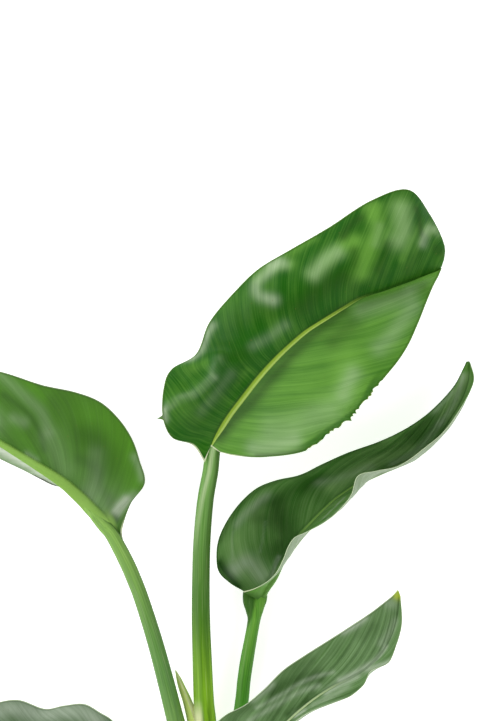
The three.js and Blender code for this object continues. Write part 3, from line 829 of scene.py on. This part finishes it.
# Each fold and patch: its height or strength, its reach, and then the path it follows over the
# blade, as rows passed and share across by turns.
# The patches lay on fresher green with painted light, painted shade, wax with painted sheen, and marks.
MIDDLE_FOLDS = [
    (4, 7, 3.4, -0.95, 3.6, -0.66, 4.39, -0.52, 5.46, -0.6),
    (2, 8, 6.54, -0.9, 6.41, -0.51),
    (-3, 12, 2.5, -0.55, 3.2, -0.3, 4.2, -0.25),
]
MIDDLE_PATCHES = {
    "fresh_tone_and_painted_light": [
        (0.85, 8.5, 9.7, -0.57, 10.4, -0.66, 10.85, -0.7, 11.2, -0.7),
        (0.8, 9, 10.8, -0.3, 11.45, -0.54, 11.8, -0.68, 11.95, -0.9),
        (0.75, 12, 12.3, -0.5, 12.5, -0.6, 12.65, -0.8),
        (0.4, 5, 12.2, -0.28, 12.6, -0.46),
        (0.6, 6, 11.9, -0.84, 12.05, -0.93),
        (0.65, 6, 13.7, -0.62, 14.25, -0.84),
        (0.55, 7, 9.25, -0.94, 9.4, -0.88, 9.6, -0.84),
        (0.4, 5, 8.7, -0.9, 9.6, -0.95, 10.6, -0.97),
        (0.06, 7, 3.4, -0.85, 4.6, -0.85, 5.4, -0.9),
        (0.35, 6, 4.9, -0.8, 5.3, -0.72),
        (0.35, 5, 3.7, -0.2, 4.5, -0.2),
        (0.4, 18, 1.5, 0.5, 2.4, 0.7, 3.4, 0.74),
        (0.8, 16, 4.4, 0.75, 5.4, 0.72, 6.2, 0.6),
        (0.3, 10, 8.4, 0.8, 8.9, 0.8),
    ],
    "shade": [
        (0.72, 7.5, 1, 0.14, 3.4, 0.12, 5.2, 0.1, 7, 0.08, 8.8, 0.06),
        (0.45, 10, 7, 0.3, 8.2, 0.3),
        (0.3, 14, 6.2, -0.75, 7.2, -0.72, 8, -0.5),
        (0.6, 5, 11.1, -0.82, 11.3, -0.87, 11.6, -0.9),
        (0.35, 5, 10.8, -0.46, 10.95, -0.52, 11.05, -0.6),
        (0.5, 5, 11.3, -0.27, 11.7, -0.4, 11.9, -0.48),
        (0.25, 7, 12.4, -0.14, 13, -0.26),
        (0.6, 3.5, 13.2, -0.8, 13.25, -0.51),
        (0.5, 5, 14.3, -0.47, 14.8, -0.6),
        (0.15, 6, 4.6, -0.95, 4.9, -0.75),
        (0.3, 12, 2.2, -0.55, 3, -0.35, 4, -0.27, 5.2, -0.3),
        (0.24, 5, 5.5, -0.62, 5.9, -0.44),
        (0.55, 12, 8.3, -0.3, 9.2, -0.35, 10.2, -0.36),
        (0.2, 8, 10.2, -0.15, 11.4, -0.2),
        (0.5, 9, 9.3, 0.2, 9.8, 0.34, 10.4, 0.58, 10.9, 0.8),
        (0.7, 2.6, 1.8, 0.96, 2.5, 0.975, 3.1, 0.98),
    ],
    "wax_and_painted_sheen": [
        (0.5, 3.6, 3.2, -0.99, 3.5, -0.82, 3.65, -0.66, 4, -0.57, 4.39, -0.52),
        (0.26, 4, 4.39, -0.52, 4.9, -0.56, 5.4, -0.6),
        (0.16, 6, 6.2, -0.4, 6.6, -0.3, 7.2, -0.26),
        (0.4, 5, 5.7, -0.99, 6.3, -0.97, 6.9, -0.95),
        (0.4, 6, 9.5, -0.93, 9.15, -0.9, 8.6, -0.88, 8.25, -0.76, 8.22, -0.6),
        (0.28, 6, 9.3, -0.96, 9.5, -0.86),
        (0.32, 7.5, 9.7, -0.57, 10.4, -0.66, 10.7, -0.68),
        (0.12, 5, 11.6, -0.55, 11.9, -0.7),
        (0.26, 10, 12.3, -0.48, 12.5, -0.56, 12.65, -0.78),
        (0.36, 5, 13.3, -0.4, 13.7, -0.62, 14.25, -0.84),
        (0.12, 6, 2.8, -0.5, 3.4, -0.4, 4.4, -0.34),
        (0.6, 5, 2.9, -1, 3, -1),
        (0.14, 9, 9, 0.25, 9.6, 0.5, 10.3, 0.7),
        (0.06, 7, 10.9, 0.55, 11.7, 0.8),
        (0.32, 9, 1.9, 0.78, 2.4, 0.82, 3, 0.82),
        (0.2, 14, 2.8, 0.55, 3.6, 0.7, 4.4, 0.78),
        (0.28, 9, 5.2, 0.75, 6, 0.72),
        (0.2, 9, 7.4, 0.75, 8.6, 0.8, 9.6, 0.85),
    ],
}
middle_leaf = Leaf(MIDDLE_ROWS, MIDDLE_RIB)
middle_stalk_finish = stalk_skin_finish(
    "middle_stalk_skin", foot=(154, 208, 44), middle=(56, 107, 18), top=(122, 170, 88),
    blush=(54, 106, 18), edge=(54, 92, 24), painted_side_shade=0.7, painted_highlights=(0.08, 0.5), cream=(0.38, 0.02, -0.5),
    foot_end=(0.32, 0.6),
)
middle_stalk = make_stalk("middle_leaf_stalk", MIDDLE_STALK, middle_stalk_finish, middle_leaf)
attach(middle_stalk, "root")
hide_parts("middle_stalk")
middle_blade_finish = blade_finish(
    "middle_blade_skin", dark=(38, 74, 16), deep=(26, 90, 4), fresh=(106, 160, 60),
    wax=(178, 196, 164), hidden=(120, 160, 104), rib_upper=(148, 180, 58),
    rib_under=(130, 176, 78), margin=(88, 126, 42), root=(112, 160, 72), streaks=0.65,
    rib_end=0.62,
)
middle_blade = make_blade(
    "middle_leaf_blade", middle_blade_finish, middle_leaf, MIDDLE_VEINS, ripple=0.5,
    tear=MIDDLE_TEAR, folds=MIDDLE_FOLDS, patches=MIDDLE_PATCHES, fresh_tone_and_painted_light=(0.08, 0.58),
    thorn=(2.95, 6, 0.05), root_line=0,
)
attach(middle_blade, "root")
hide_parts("middle_blade")

# The right leaf is folded shut along its midrib like a trough, and its keel lies on the surface.
# Its near half leans over with a waved pale margin, and its skin is the darkest of the five.
RIGHT_STALK = [
    (6.5, -6, 20, 11.5, 12),
    (10, 30, 20, 11.5, 12),
    (15, 65, 20, 10, 10.5),
    (21, 98, 20, 8.5, 8.8),
    (26.5, 125, 20, 7.4, 7.4),
    (31.5, 147, 19.5, 6.8, 6.8),
    (35, 167, 19, 6.9, 6.9),
    (37, 187, 19, 6.8, 6.8),
    (40, 207.5, 18.5, 6.8, 6.8),
    (43.6, 227.5, 18, 6.4, 6.8),
    (47, 247, 18, 6.5, 6.8),
    (47.6, 257, 18.5, 8.9, 7),
    (47.8, 267, 17.5, 12, 6),
    (49.6, 277, 12.3, 12.2, 4.8),
]
RIGHT_ROWS = [
    (54.8, 266.4, 19.9, 36, 278.5, 31, 36, 277.5, 32, 0, 0),
    (60, 280, 15.5, 23.5, 286, 34, 47, 280.8, 38, -3, -1),
    (67.4, 293.8, 12, 12, 297.5, 38, 59, 287.5, 45, -6, -2),
    (74, 307.5, 9.5, 9.5, 312.5, 43, 69, 297.5, 52, -9, -3),
    (83.5, 320.5, 8.3, 11.5, 330.5, 47, 76, 311, 58, -11, -4),
    (94, 333.5, 7.5, 20, 349.5, 50, 81, 324, 62, -12, -4),
    (105, 345, 6.8, 33, 367.5, 52, 87.5, 333.5, 64, -12, -4),
    (117, 357.5, 6.2, 50, 382.5, 52, 100, 339.5, 64, -11, -3),
    (130.5, 370, 5.7, 70, 390.5, 50, 116, 348, 63, -9, -3),
    (144.5, 380, 5.3, 93, 395.5, 47, 131, 360, 62, -7, -3),
    (158, 389, 5.1, 115, 406, 44, 144, 376, 60, -5, -3),
    (178, 398, 5, 142, 418, 42, 151, 395, 58, -4, -3),
    (200, 407, 6, 170.5, 428, 41, 170, 400, 56, -3, -3),
    (218.5, 418, 9, 195.5, 439.5, 40, 193, 405.5, 55, -3, -3),
    (234.5, 433.5, 14, 218, 454, 40, 217.5, 422.5, 53, -3, -3),
    (247.5, 453.5, 20, 235.5, 470, 40, 238.5, 440.5, 50, -2, -3),
    (258, 472.5, 26, 249, 486, 40, 257, 467, 46, -2, -2),
    (263.5, 492, 31, 257.5, 502, 39, 268, 490, 41, -1, -1),
    (263.5, 509.5, 35, 261, 509.5, 36, 265, 508, 36, 0, 0),
]
RIGHT_RIB = (4.6, 0.7, 0.9)
RIGHT_VEINS = {"left": 9, "right": 6, "early": 1.5, "late": 3, "bend": 0.7}
RIGHT_PATCHES = {
    "fresh_tone_and_painted_light": [
        (0.5, 11, 1.9, -0.3, 2.8, -0.5, 3.9, -0.7),
        (0.95, 8, 8.6, -0.2, 9.8, -0.25, 11.2, -0.34, 12.6, -0.3),
        (0.8, 9, 14.9, -0.3, 16.2, -0.5, 16.9, -0.6),
    ],
    "shade": [
        (0.7, 13, 3.6, -0.1, 4.6, -0.1, 5.6, -0.3, 6.4, -0.5),
        (0.5, 5, 4, -0.96, 5.6, -0.95, 7.6, -0.94, 10, -0.94, 12, -0.94),
        (1, 7, 0.8, -0.85, 1.8, -0.84, 2.6, -0.95),
        (0.45, 9, 5.3, -0.45, 5.4, -0.62, 6.2, -0.7),
        (0.5, 7, 13.1, -0.72, 13.7, -0.78, 14.1, -0.8),
        (0.35, 8, 8, -0.45, 8.9, -0.48),
        (0.3, 10, 6.6, -0.55, 7.6, -0.5, 8.8, -0.6),
        (0.5, 3, 7.6, 0.62, 8.6, 0.75, 9.2, 0.85),
        (0.2, 5, 12.6, -0.4, 13.6, -0.45),
    ],
    "wax_and_painted_sheen": [
        (0.4, 9, 2.3, -0.66, 2.7, -0.42, 1.9, -0.2),
        (0.25, 7, 4.9, -0.8, 5.8, -0.76, 6.6, -0.72),
        (0.25, 6, 8.6, -0.4, 9.6, -0.28, 10.8, -0.22),
        (0.28, 6, 14.6, -0.82, 15, -0.86, 15.6, -0.8),
        (0.3, 5, 11.6, -0.1, 13, -0.15, 14.4, -0.3),
        (0.4, 4, 14.4, -0.25, 15.4, -0.3, 16.6, -0.6, 16.8, -0.8),
        (0.5, 1.8, 7.3, 0.5, 7.9, 0.35, 8.7, 0.2),
        (0.45, 1.8, 7.5, 0.9, 8.3, 0.7, 9, 0.5),
        (0.4, 2.4, 1.9, -0.02, 2.5, -0.03, 3.2, -0.04),
        (0.16, 2, 2.9, -0.7, 3.6, -0.74, 4.4, -0.8),
        (0.14, 1.6, 3.4, -0.3, 4.4, -0.36, 5.2, -0.44),
    ],
    "mark": [
        (0.7, 5, 17, -0.9, 17.4, -0.5, 17.7, 0),
        (0.5, 4, 16, 0.95, 16.8, 0.9, 17.4, 0.8),
    ],
}
right_leaf = Leaf(RIGHT_ROWS, RIGHT_RIB)
right_stalk_finish = stalk_skin_finish(
    "right_stalk_skin", foot=(150, 184, 92), middle=(76, 144, 42), top=(112, 168, 58),
    blush=(76, 146, 50), edge=(38, 80, 20), painted_side_shade=0.2, painted_highlights=(0.08, 0), wing=0.76,
)
right_stalk = make_stalk("right_leaf_stalk", RIGHT_STALK, right_stalk_finish, right_leaf)
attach(right_stalk, "root")
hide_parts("right_stalk")
right_blade_finish = blade_finish(
    "right_blade_skin", dark=(32, 72, 18), deep=(62, 118, 40), fresh=(142, 182, 112),
    wax=(196, 208, 188), hidden=(128, 150, 114), rib_upper=(134, 180, 86),
    rib_under=(156, 178, 140), margin=(214, 230, 190), mark=(76, 134, 34), root=(92, 146, 50),
    streaks=0.8, rib_start=0.29, root_reach=30, mouth=(56, 98, 30), far_margin=(52, 88, 36),
)
right_blade = make_blade(
    "right_leaf_blade", right_blade_finish, right_leaf, RIGHT_VEINS, ripple=0.5, calm_margin=16,
    patches=RIGHT_PATCHES, fresh_tone_and_painted_light=(0.32, 0.4),
)
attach(right_blade, "root")
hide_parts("right_blade")

# The left leaf hangs over and shows its lower face, with the thick round midrib towards the eye.
# Its far half stands under it on the surface, and its tip lies out to the left.
LEFT_STALK = [
    (-2, -6, 20, 15, 15),
    (-5, 30, 20, 14.5, 14.5),
    (-11, 66, 21, 12, 12),
    (-20, 105, 24.5, 10.2, 10.2),
    (-26, 127, 29, 9.4, 9.4),
    (-32, 148.5, 33.5, 8.9, 8.9),
    (-42, 189.5, 43, 8.4, 8.4),
    (-52.7, 230.5, 52.5, 7.9, 7.9),
    (-65, 271, 62, 7.5, 7.5),
    (-72.5, 291.5, 67, 7.5, 7.5),
    (-80.8, 311, 72, 7.4, 7.4),
    (-94.2, 336.6, 77, 6.9, 6.9),
]
LEFT_ROWS = [
    (-91.3, 337.5, 76, -86.5, 331, 68, -83.5, 330.5, 73, 0, 0),
    (-97, 344.6, 77, -88.5, 342, 58, -84, 343.5, 77, 1, 1),
    (-102, 351, 77.5, -89, 353, 47, -75.5, 368.5, 80, 2, -1),
    (-108, 357.6, 78.5, -91, 364, 38, -61.5, 389, 86, 3, -3),
    (-114.8, 364.8, 79.5, -96, 372, 31, -66.5, 411.5, 90, 4, -4),
    (-122, 372.4, 80, -106, 377, 25, -74, 433, 91, 4, -5),
    (-130.4, 380, 81, -119, 380, 19, -87.5, 453, 90, 4, -6),
    (-139, 387.5, 82, -137, 382, 13, -106, 469.5, 87, 4, -6),
    (-149.5, 395, 82, -155, 383.5, 8, -130.5, 479, 83, 4, -6),
    (-161, 402.5, 81, -169.5, 390, 4, -163.5, 486, 79, 4, -6),
    (-175, 411.5, 79, -186, 398.5, 1.5, -199, 497.5, 74, 4, -6),
    (-192, 422, 76, -207, 408.5, 0.6, -232, 505, 68, 4, -6),
    (-211, 433.5, 72, -231, 421, 4, -264, 508, 61, 3, -5),
    (-233, 445.5, 66, -257, 435, 12, -293, 504, 54, 3, -4),
    (-259, 458.5, 58, -286, 452, 22, -315, 496, 48, 2, -3),
    (-291, 472.5, 49, -313, 469, 32, -329, 489, 42, 1, -1),
    (-325, 484, 40, -329, 483, 38.5, -332, 486.5, 39.5, 0, 0),
]
LEFT_RIB = (6, 0.9, 0.5)
LEFT_VEINS = {"left": 3, "right": 2.6, "early": 0, "late": 1.6, "bend": 1}
LEFT_PATCHES = {
    "fresh_tone_and_painted_light": [
        (0.6, 16, 3.4, 0.8, 5, 0.9, 7, 0.85),
        (0.5, 9, 9, 0.9, 10.2, 0.95),
        (0.5, 10, 2.4, 0.7, 3.2, 0.9),
    ],
    "shade": [
        (0.5, 4, 10.3, 0.72, 9.5, 0.58, 9.15, 0.42, 8.95, 0.24),
        (0.75, 4.5, 1.6, 0.5, 1.9, 0.34, 2.3, 0.2),
        (0.4, 12, 5, 0.5, 6, 0.62, 7.2, 0.6),
        (0.45, 7, 3.3, 0.3, 4.6, 0.3, 5.6, 0.38, 6.8, 0.34),
    ],
    "wax_and_painted_sheen": [
        (0.13, 6, 10.2, 0.95, 9.55, 0.79, 9.05, 0.67, 8.75, 0.47),
        (0.1, 12, 8.6, 0.4, 8, 0.22, 7.5, 0.14),
        (0.08, 9, 4.7, 0, 5.3, 0.26, 6.1, 0.5),
        (0.2, 5, 2.5, 0.52, 2.7, 0.8),
        (0.65, 5, 2.15, 0.46, 2.45, 0.58, 2.65, 0.64),
        (0.2, 4, 9.6, 0.04, 10.1, 0.05),
        (0.14, 6, 9.8, 0.46, 10.2, 0.46),
        (0.2, 4.5, 3.3, 0.95, 3.9, 0.96, 4.3, 0.94),
        (0.2, 14, 11.5, 0.3, 13.5, 0.45),
        (1, 24, 4.5, -0.6, 8, -0.7, 11, -0.6, 14, -0.6),
    ],
    "mark": [(0.95, 2.7, 8, -0.98, 8.6, -0.97, 9.3, -0.98)],
}
left_leaf = Leaf(LEFT_ROWS, LEFT_RIB, face_up=-1)
left_stalk_finish = stalk_skin_finish(
    "left_stalk_skin", foot=(140, 180, 84), middle=(86, 136, 64), top=(139, 182, 88),
    blush=(94, 134, 74), edge=(46, 84, 24), painted_side_shade=0.25, painted_highlights=(0.05, 0), foot_end=(0.2, 0.56),
)
left_stalk = make_stalk("left_leaf_stalk", LEFT_STALK, left_stalk_finish, left_leaf)
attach(left_stalk, "root")
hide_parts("left_stalk")
left_blade_finish = blade_finish(
    "left_blade_skin", dark=(42, 78, 22), deep=(58, 98, 30), fresh=(80, 136, 34),
    wax=(186, 198, 176), hidden=(60, 110, 44), rib_upper=(130, 170, 80), rib_under=(134, 176, 78),
    margin=(110, 130, 84), root=(150, 192, 94), mark=(34, 36, 26), shows_lower=True, streaks=0.6,
    gloss=0.42,
)
left_blade = make_blade(
    "left_leaf_blade", left_blade_finish, left_leaf, LEFT_VEINS, ripple=0.55, patches=LEFT_PATCHES,
    fresh_tone_and_painted_light=(0.4, 0.35),
)
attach(left_blade, "root")
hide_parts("left_blade")

# The lower right leaf leans out over the right stalk. It is grey green, partly from its wax and partly
# from painted sheen, and its veins stand up in ridges that run along it before they turn out to the
# margin.
LOWER_RIGHT_STALK = [
    (7, -6, 20, 20, 18.2),
    (12, 28, 22, 16.5, 16),
    (18, 55, 27, 11, 11.5),
    (24, 76, 34, 7.2, 7.4),
    (30.5, 95, 40.5, 5.8, 5.8),
]
LOWER_RIGHT_ROWS = [
    (31, 95, 46, 25, 90, 47, 36, 91, 48, 0, 0),
    (39, 106, 48, 12, 106, 52, 47, 103, 58, -1, -1),
    (49, 117, 50, 6, 127, 57, 59, 116, 68, -2, -1),
    (60, 128, 52, 7, 144, 61, 70, 129, 77, -3, -2),
    (72, 140, 54, 18, 156, 63, 79.5, 143.5, 84, -3, -2),
    (84, 152, 56, 38, 166.5, 63, 91, 155, 89, -3, -3),
    (97, 163.5, 57, 57, 182, 61, 107, 164.5, 93, -3, -3),
    (112, 175, 58, 75.5, 200.5, 60, 124.5, 171, 95, -3, -3),
    (128, 185, 58, 98, 216, 60, 142.5, 178.3, 94, -3, -3),
    (145, 193, 57, 121, 230.5, 60, 155.5, 189, 91, -3, -3),
    (161, 203, 55, 143, 244.5, 59, 163, 202.5, 87, -3, -3),
    (175, 217, 52, 163, 257.5, 56, 180, 209.5, 80, -2, -2),
    (185, 234, 49, 178, 268.5, 52, 188, 224, 70, -1, -1),
    (191.5, 256, 46, 186.5, 275, 47, 195, 247, 58, 0, 0),
    (193, 277.5, 43, 191.6, 280.2, 43, 194.4, 273.5, 44.5, 0, 0),
]
LOWER_RIGHT_RIB = (3.8, 0.6, 0.9)
LOWER_RIGHT_VEINS = {"left": 9, "right": 7, "early": 4, "late": 4, "bend": 0.6}
LOWER_RIGHT_PATCHES = {
    "shade": [
        (0.7, 9, 6, -0.78, 7, -0.62, 7.7, -0.4),
        (0.5, 7, 3.6, -0.8, 4.4, -0.9, 5, -0.9),
        (0.3, 9, 4.6, -0.3, 5.2, -0.4),
        (0.35, 7, 7.4, -0.88, 8, -0.8),
        (0.55, 4, 6.3, -0.03, 6.9, -0.1),
        (0.32, 6, 10.4, -0.6, 11, -0.68),
        (0.6, 4, 5.2, -0.12, 6.4, -0.07),
        (0.4, 6, 7.4, 0.6, 8.6, 0.75),
    ],
    "wax_and_painted_sheen": [
        (0.5, 5, 7.4, 0.1, 8.4, 0.05, 9.2, 0.1),
        (0.55, 6, 10, 0.15, 10.5, 0.5, 10.9, 0.8),
        (0.5, 5, 4.2, 0.5, 5.4, 0.6, 6.6, 0.8, 7.4, 0.95),
        (0.3, 5, 6.4, 0.2, 7.4, 0.35, 8.4, 0.3),
        (0.6, 3, 8.4, -0.06, 9.6, -0.05, 10.6, 0, 11.4, 0.02),
        (0.3, 5, 11.2, -0.18, 12, -0.12, 12.6, -0.05),
        (0.25, 6, 12.3, -0.9, 12.7, -0.7),
        (0.6, 4, 9.7, -0.98, 10.2, -0.96, 10.7, -0.98),
        (0.38, 4, 5.4, -0.99, 6.3, -0.96),
        (0.55, 4, 5.3, 0.1, 5.8, 0.16),
        (0.3, 3, 4, -0.55, 5, -0.52, 6.2, -0.4, 7.4, -0.2),
        (0.3, 2.4, 5, -0.75, 6, -0.6, 7.4, -0.45, 8.4, -0.3),
    ],
    "mark": [(0.75, 4.5, 13.5, -0.7, 14, 0)],
}
lower_right_leaf = Leaf(LOWER_RIGHT_ROWS, LOWER_RIGHT_RIB)
lower_right_stalk_finish = stalk_skin_finish(
    "lower_right_stalk_skin", foot=(150, 178, 98), middle=(126, 164, 86), top=(118, 154, 92),
    blush=(112, 150, 84), edge=(60, 96, 36), painted_side_shade=0.3,
)
lower_right_stalk = make_stalk(
    "lower_right_leaf_stalk", LOWER_RIGHT_STALK, lower_right_stalk_finish, lower_right_leaf,
)
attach(lower_right_stalk, "root")
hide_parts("lower_right_stalk")
lower_right_blade_finish = blade_finish(
    "lower_right_blade_skin", dark=(42, 76, 24), deep=(62, 102, 40), fresh=(126, 160, 108),
    wax=(190, 204, 180), hidden=(140, 166, 128), rib_upper=(178, 198, 150),
    rib_under=(140, 172, 106), root=(130, 166, 92), margin=(196, 210, 176), mark=(190, 208, 56),
    gloss=0.42, rib_end=0.6,
)
lower_right_blade = make_blade(
    "lower_right_leaf_blade", lower_right_blade_finish, lower_right_leaf, LOWER_RIGHT_VEINS,
    ripple=1.15, calm_margin=16, patches=LOWER_RIGHT_PATCHES, fresh_tone_and_painted_light=(0.55, 0.45),
)
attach(lower_right_blade, "root")
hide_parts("lower_right_blade")

# The lower left leaf is the oldest and outermost. Its sheath wraps the whole foot of the shoot
# and carries the flat spot that it rests on, and its grey-green blade, grey partly from wax and partly
# from painted sheen, lies out low to the left.
LOWER_LEFT_STALK = [
    (0, -6, 20, 24, 21.2),
    (0, 23, 20, 22.5, 21),
    (-15, 47, 22, 15, 15),
    (-38, 66, 26, 8.5, 9),
    (-56, 80, 31, 6.4, 6.6),
    (-73, 91.5, 34.5, 5.8, 5.8),
]
LOWER_LEFT_ROWS = [
    (-73, 91, 38, -78, 85, 40, -68, 97, 39, 0, 0),
    (-87, 106, 42, -101, 88, 52, -79, 129, 48, -1, 1),
    (-103, 114, 45, -123, 83, 62, -94, 149.5, 55, -2, 2),
    (-121, 120, 47, -147, 79, 68, -107, 158.5, 58, -3, 3),
    (-141, 124, 48, -171, 76, 70, -123, 167, 58, -3, 3),
    (-163, 126, 48, -195, 74, 70, -143, 165, 54, -3, 3),
    (-187, 125, 46, -219, 72, 66, -163, 161.5, 51, -3, 3),
    (-211, 122, 42, -243, 71, 60, -190, 171, 57, -3, 4),
    (-237, 116, 37, -265, 70, 51, -219, 165, 54, -3, 3),
    (-263, 108, 31, -285, 71, 40, -253, 149, 45, -2, 2),
    (-287, 98, 24, -301, 75, 30, -283, 126, 33, -1, 1),
    (-309, 86, 18, -312, 81, 19, -309, 92, 20, 0, 0),
]
LOWER_LEFT_RIB = (5.6, 0.7, 0.9)
LOWER_LEFT_VEINS = {"left": 4, "right": 4, "early": 0.5, "late": 2, "bend": 0.8}
lower_left_leaf = Leaf(LOWER_LEFT_ROWS, LOWER_LEFT_RIB)
lower_left_stalk_finish = stalk_skin_finish(
    "lower_left_stalk_skin", foot=(158, 176, 108), middle=(132, 164, 92), top=(122, 154, 100),
    blush=(150, 160, 96), edge=(84, 110, 56),
)
lower_left_stalk = make_stalk(
    "lower_left_leaf_stalk", LOWER_LEFT_STALK, lower_left_stalk_finish, lower_left_leaf,
)
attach(lower_left_stalk, "root")
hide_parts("lower_left_stalk")
lower_left_blade_finish = blade_finish(
    "lower_left_blade_skin", dark=(56, 84, 44), deep=(76, 102, 64), fresh=(112, 134, 104),
    wax=(184, 196, 178), hidden=(142, 166, 134), rib_upper=(176, 196, 150),
    rib_under=(144, 172, 114), root=(136, 168, 104), margin=(190, 204, 172), gloss=0.42,
)
lower_left_blade = make_blade(
    "lower_left_leaf_blade", lower_left_blade_finish, lower_left_leaf, LOWER_LEFT_VEINS,
    ripple=0.9, calm_margin=14, fresh_tone_and_painted_light=(0.45, 0.4),
    patches={"wax_and_painted_sheen": [(0.4, 9, 3, 0.8, 6, 0.85, 9, 0.8)]},
)
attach(lower_left_blade, "root")
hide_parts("lower_left_blade")

# The surface is a wide matt white table top. It isn't part of the shoot.
TABLE_REACH = 6000
table = new_piece(
    "table_top",
    [(x * TABLE_REACH, y * TABLE_REACH, 0) for x, y in ((-1, -1), (1, -1), (1, 1), (-1, 1))],
    [(0, 1, 2, 3)],
)
table_finish, table_shader = new_finish("table_paint")[:2]
table_shader.inputs["Roughness"].default_value = 0.9
table_shader.inputs["Base Color"].default_value = (0.93, 0.93, 0.93, 1)
table_shader.inputs["Emission Color"].default_value = (1, 1, 1, 1)
table_shader.inputs["Emission Strength"].default_value = 0.6
table.data.materials.append(table_finish)

# A bright even ring of light, darker straight overhead, with a broad soft lamp from the left, as
# in a small studio. The camera looks straight down.
CAMERA_X = 33.5
CAMERA_Y = 510.5 - REST_SPOT_Y
FOCUS_HEIGHT = 60
LAMP_AIM = 50
CAMERA_DISTANCE = 3500
PHOTO_HEIGHT = 721
SENSOR = 36.0
SKY_LIGHT = 0.95
ZENITH_LIGHT = 0.16
ZENITH_EDGE = (0.72, 0.93)
scene = bpy.context.scene
scene.view_settings.view_transform = "Standard"
world = bpy.data.worlds.new("studio")
world.use_nodes = True
sky = Look(world.node_tree)
ways = sky.node("ShaderNodeTexCoord", output="Generated").parts()
glare = ways[2].step(ZENITH_EDGE[1], ZENITH_EDGE[0]) * (1 - ZENITH_LIGHT) + ZENITH_LIGHT
backdrop = world.node_tree.nodes["Background"]
backdrop.inputs["Color"].default_value = (1, 1, 1, 1)
world.node_tree.links.new((glare * SKY_LIGHT).socket, backdrop.inputs["Strength"])
scene.world = world


def hang_lamp(name, place, size, power):
    """A square soft lamp that looks at the middle of the shoot."""
    lamp = bpy.data.lights.new(name, "AREA")
    lamp.shape = "SQUARE"
    lamp.size = size
    lamp.energy = power
    hung = bpy.data.objects.new(name, lamp)
    scene.collection.objects.link(hung)
    hung.location = place
    target = np.array([CAMERA_X, CAMERA_Y, LAMP_AIM]) * MM
    hung.rotation_euler = Vector(target - np.array(place)).to_track_quat("-Z", "Y").to_euler()


hang_lamp("key_lamp", (-2.1, 1.1, 1.9), 2.4, 46)
hang_lamp("fill_lamp", (1.8, -0.6, 2.0), 1.8, 8)

eye = bpy.data.cameras.new("overhead")
eye.sensor_fit = "AUTO"
eye.sensor_width = SENSOR
eye.lens = SENSOR * CAMERA_DISTANCE / PHOTO_HEIGHT
eye.clip_end = 20
camera = bpy.data.objects.new("overhead", eye)
camera.location = (CAMERA_X * MM, CAMERA_Y * MM, (FOCUS_HEIGHT + CAMERA_DISTANCE) * MM)
scene.collection.objects.link(camera)
scene.camera = camera
